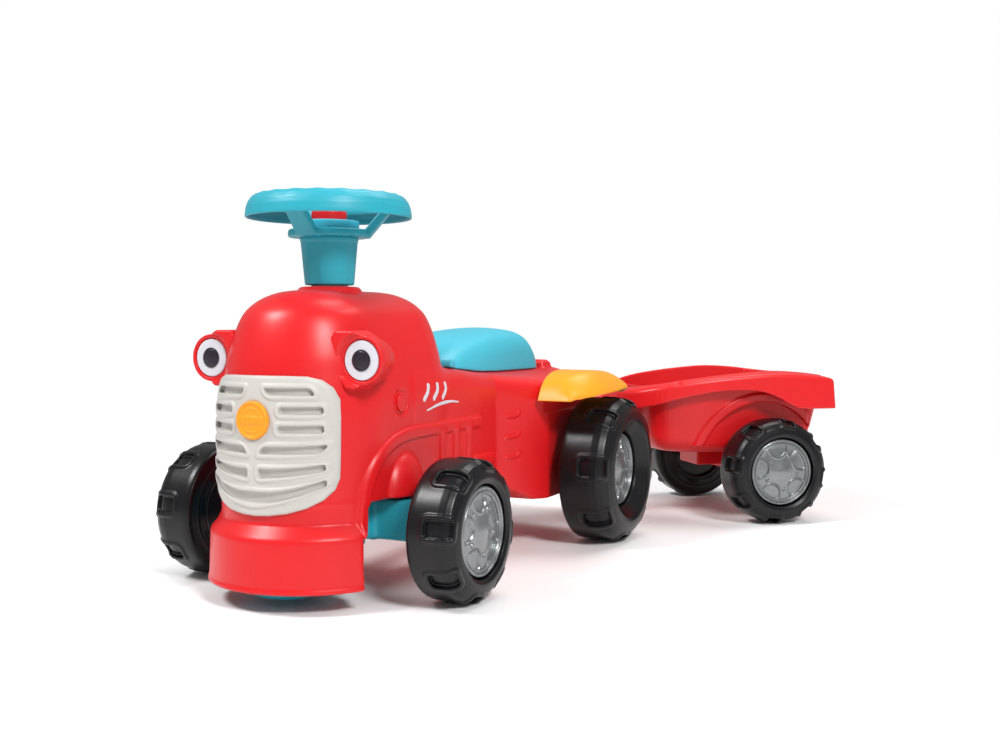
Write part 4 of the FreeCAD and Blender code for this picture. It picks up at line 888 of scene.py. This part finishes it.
TUB_FLOOR = 84.0
MOUTH_PLAN = [(-60, 128), (26, 128), (46, 133), (64, 144), (78, 162), (88, 190), (93, 225), (95, 280),
              (95, 354), (89, 366), (76, 371), (-60, 371)]
RIM_EDGE = [(-60, 109), (30, 109), (54, 116), (74, 130), (92, 154), (104, 190), (112, 232), (118, 285),
            (120.5, 330), (121.2, 368), (119.5, 373), (114, 374.6), (-60, 374.6)]
RAIL_CREST = [(100, 160), (130, 166.5), (152, 171), (181, 176.5), (215, 181), (250, 184.5), (290, 187),
              (330, 185), (372, 180)]
SKIRT_EDGE = [(100, 138), (130, 142), (160, 151), (190, 158.5), (225, 163.5), (265, 163), (290, 156),
              (308, 146), (322, 141), (345, 140), (380, 140)]
WHEEL_ARCH = 84.0


def build_tub():
    """Blow-moulded tub: bellied sides, wheel arches, and a rail that rolls out and down to a skirt."""
    g = Grid((0, -22, 78), (126, 378, 192), 1.25)
    crest = along_curve(g.y, RAIL_CREST)
    skirt = along_curve(g.y, SKIRT_EDGE)
    mouth = polygon(g.x, g.y, MOUTH_PLAN[:1] + smooth_curve(MOUTH_PLAN[1:8], 4) + MOUTH_PLAN[8:])
    edge = polygon(g.x, g.y, RIM_EDGE[:1] + smooth_curve(RIM_EDGE[1:9], 4) + RIM_EDGE[9:])
    floor = along_curve(g.y, [(100, 104), (144, 92), (187, TUB_FLOOR), (400, TUB_FLOOR)])
    sides = mouth + (178 - g.z) * 0.10
    front = (134 - g.y) + (178 - g.z) * 0.16
    rear = (g.y - 368) * 0.93 + (150 - g.z) * 0.30
    outer = overlap(overlap(overlap(sides, rear, 8.0), front, 10.0), floor - g.z, 22.0)
    wheel_line = length(g.y - TRAILER_LINE, g.z - SMALL_RADIUS)
    well = overlap(wheel_line - WHEEL_ARCH, 83.5 - g.x, 2.0)
    inner = overlap(outer + 3.0, -(well - 3.0), 2.0)
    tub = carve(outer, well, 2.5)
    lip = length(np.maximum(np.abs(wheel_line - WHEEL_ARCH - 4.5) - 3.6, 0), outer - 0.4) - 2.6
    lip = overlap(lip, g.y - 350, 6.0)
    tub = union(tub, np.where((g.x > 66) & (g.z > 92), lip, FAR), 1.5)
    tub = overlap(tub, g.z - crest, 1.5)
    # rail: a rolled flange that leaves the crest and falls to the skirt, which drafts outwards
    reach = np.clip(mouth, 0, 60) / np.maximum(mouth - edge, 1)
    top = crest - 1.5 * reach - 3.0 * reach ** 3
    drafted = edge - (top - g.z) * 0.07
    shell = overlap(drafted + 3.7, (g.z - top) * 0.98, 4.0)
    under = overlap(drafted + 6.7, g.z - top + 3.0, 2.0)
    rail = carve(shell, under, 1.0)
    rail = overlap(rail, skirt - g.z, 1.2)
    rail = overlap(rail, -(mouth + 3.0), 2.5)
    whole = union(tub, rail, 2.5)
    cavity = overlap(inner, 60 - g.z)
    whole = carve(whole, cavity, 1.5)
    # triangular relief near the front of each rail
    pocket = polygon(g.x, g.y, [(80, 150), (96, 172), (86, 174)])
    whole = carve(whole, overlap(pocket, np.abs(g.z - top) - 1.6), 1.0)
    # tongue with its eye and rib
    spread = np.clip(g.y - 70, 0, 60) * 0.2
    tongue = overlap(np.abs(g.x) - 17 - spread, slab(g.z, 142, 152), 2.0)
    tongue = overlap(tongue, slab(g.y, 0, 136))
    eye = overlap(length(g.x, g.y) - 17, slab(g.z, 139.2, 157.8), 2.0)
    rib = overlap(slab(g.x, -3, 3), overlap(slab(g.z, 122, 143), slab(g.y, 28, 138), 2.0), 0.8)
    tongue = union(union(tongue, eye, 1.5), rib, 1.5)
    groove = overlap(rounded_rect(g.x, g.y - 76, 9.5, 44, 5.0), 149.4 - g.z)
    tongue = carve(tongue, groove, 1.2)
    whole = union(whole, tongue, 3.0)
    whole = carve(whole, overlap(inner, 60 - g.z), 1.0)
    whole = carve(whole, length(g.x, g.y) - 6.3)
    return mould("trailer_body", g, whole, place=TRAILER, mirrored=True)


BRACKET_RIBS = (20.0, 45.0, 72.0)


def build_bracket():
    """Hollow box under the tub that carries the axle, with a deeper keel ahead of it and screw bosses."""
    g = Grid((0, 202, 55), (102, 333, 86), 0.9)
    along, up = g.y - TRAILER_LINE, g.z
    block = rounded_box(g.x, along, up - 70.5, (90, 24, 13.4), 2.5)
    keel = rounded_box(g.x, g.y - 277.5, up - 73, (28, 52.5, 10.9), 2.5)
    hollow = rounded_box(g.x, along, up - 62, (87, 21, 18.9), 1.5)
    block = carve(union(block, keel, 1.5), hollow, 0.6)
    axle = length(along, up - SMALL_RADIUS)
    block = union(block, overlap(axle - 9, slab(g.x, 84, 96.4), 1.0), 1.0)
    rib_side = overlap(np.abs(along) - 21.5, slab(up, 60, 82))
    for rib in BRACKET_RIBS:
        block = union(block, overlap(slab(g.x, rib - 1.2, rib + 1.2), rib_side), 1.0)
    for step in (-15, 15):
        block = union(block, overlap(length(g.x - 60, along - step) - 5.0, slab(up, 68, 83)), 1.0)
        block = carve(block, length(g.x - 60, along - step) - 2.1)
    block = carve(block, axle - AXLE_HOLE)
    return mould("axle_box", g, block, place=TRAILER, mirrored=True)


finish_piece(build_tub(), RED, "trailer", "trailer_tub")
finish_piece(build_bracket(), RED, "trailer", "trailer_axle_bracket")


def build_hitch_pin():
    g = Grid((-11, 419, 124), (11, 441, 171), 0.5)
    radius = length(g.x, g.y - HITCH_LINE)
    pin = overlap(radius - 5.95, np.maximum(g.z - 169.8, 127 - g.z), 2.0)
    head = overlap(radius - 9.8, slab(g.z, 125.2, 127.9), 0.8)
    return mould("hitch_peg", g, union(pin, head, 0.8))


finish_piece(build_hitch_pin(), RED, "tractor", "hitch_pin")


# --- plain parts that keep their CAD shape ----------------------------------------------------------------

dress(STEEL, "front_axle", "rear_axle", "trailer_axle", "steering_shaft", "shaft_lock_pin", "seat_hinge_pins",
      "bracket_screws", "front_axle_clips", "rear_axle_clips", "trailer_axle_clips")
dress(NYLON, "steering_bushes", "rear_axle_spacers")
dress(VINYL, "horn_bellows")

# --- floor, light and camera ------------------------------------------------------------------------------

CAMERA_SPOT = (627.9, -894.7, 251.6)
CAMERA_AZIMUTH = 26.67
CAMERA_DIP = 2.74
CAMERA_LENS = 41.48

camera_data = bpy.data.cameras.new("camera")
camera_data.lens = CAMERA_LENS
camera_data.sensor_width = 36.0
camera_data.clip_end = 50
camera = bpy.data.objects.new("camera", camera_data)
bpy.context.scene.collection.objects.link(camera)
camera.location = TRACTOR @ (Vector(CAMERA_SPOT) * MM)
camera.rotation_euler = (math.radians(90 - CAMERA_DIP), 0, math.radians(CAMERA_AZIMUTH))
bpy.context.scene.camera = camera


def soft_light(name, spot, target, wide, power):
    data = bpy.data.lights.new(name, "AREA")
    data.shape = "DISK"
    data.size = wide
    data.energy = power
    lamp = bpy.data.objects.new(name, data)
    bpy.context.scene.collection.objects.link(lamp)
    lamp.location = spot
    lamp.rotation_euler = (Vector(target) - Vector(spot)).to_track_quat("-Z", "Y").to_euler()


soft_light("key", (-1.5, -1.7, 2.6), (0, -0.1, 0.15), 0.9, 74)
soft_light("fill", (2.1, -1.7, 2.2), (0, 0, 0.15), 0.8, 84)
soft_light("top", (0.3, 0.9, 2.6), (0, 0, 0), 1.6, 34)

world = bpy.data.worlds.new("studio")
world.use_nodes = True
world.node_tree.nodes["Background"].inputs["Color"].default_value = (1.0, 1.0, 1.0, 1)
world.node_tree.nodes["Background"].inputs["Strength"].default_value = 0.34
bpy.context.scene.world = world
bpy.context.scene.view_settings.view_transform = "Standard"


def stage_piece(name, points, faces):
    mesh = bpy.data.meshes.new(name)
    mesh.from_pydata(points, [], faces)
    piece = bpy.data.objects.new(name, mesh)
    bpy.context.scene.collection.objects.link(piece)
    return piece


# pale floor that fades into the white surround
FLOOR = 4.5
floor = stage_piece("floor", [(-FLOOR, -FLOOR, 0), (FLOOR, -FLOOR, 0), (FLOOR, FLOOR, 0), (-FLOOR, FLOOR, 0)],
                    [(0, 1, 2, 3)])
floor_paint = bpy.data.materials.new("floor_paint")
floor_paint.use_nodes = True
floor_tree = floor_paint.node_tree
floor_shader = floor_tree.nodes["Principled BSDF"]
floor_shader.inputs["Base Color"].default_value = (0.93, 0.93, 0.93, 1)
floor_shader.inputs["Roughness"].default_value = 0.55
glow = node(floor_tree, "ShaderNodeEmission", Color=(1, 1, 1, 1), Strength=1.0)
where = node(floor_tree, "ShaderNodeTexCoord")
distance = node(floor_tree, "ShaderNodeVectorMath", operation="LENGTH")
floor_tree.links.new(where.outputs["Object"], distance.inputs[0])
fade = node(floor_tree, "ShaderNodeMapRange")
fade.inputs["From Min"].default_value = 0.55
fade.inputs["From Max"].default_value = 1.25
floor_tree.links.new(distance.outputs["Value"], fade.inputs["Value"])
blend = node(floor_tree, "ShaderNodeMixShader")
floor_tree.links.new(fade.outputs["Result"], blend.inputs[0])
floor_tree.links.new(floor_shader.outputs[0], blend.inputs[1])
floor_tree.links.new(glow.outputs[0], blend.inputs[2])
floor_tree.links.new(blend.outputs[0], floor_tree.nodes["Material Output"].inputs["Surface"])
floor.data.materials.append(floor_paint)

# white surround, seen by the camera only
SURROUND, SURROUND_TOP, SURROUND_SIDES = 4.4, 6.0, 24
angles = [2 * math.pi * k / SURROUND_SIDES for k in range(SURROUND_SIDES)]
ring = [(SURROUND * math.cos(angle), SURROUND * math.sin(angle)) for angle in angles]
points = [(x, y, -0.2) for x, y in ring] + [(x, y, SURROUND_TOP) for x, y in ring]
walls = [(k, (k + 1) % SURROUND_SIDES, SURROUND_SIDES + (k + 1) % SURROUND_SIDES, SURROUND_SIDES + k)
         for k in range(SURROUND_SIDES)]
surround = stage_piece("surround", points, walls + [tuple(range(SURROUND_SIDES, 2 * SURROUND_SIDES))])
surround_paint = bpy.data.materials.new("surround_paint")
surround_paint.use_nodes = True
surround_tree = surround_paint.node_tree
surround_glow = node(surround_tree, "ShaderNodeEmission", Color=(1, 1, 1, 1), Strength=1.0)
surround_tree.links.new(surround_glow.outputs[0], surround_tree.nodes["Material Output"].inputs["Surface"])
surround.data.materials.append(surround_paint)
surround.visible_diffuse = False
surround.visible_glossy = False
surround.visible_transmission = False
surround.visible_shadow = False
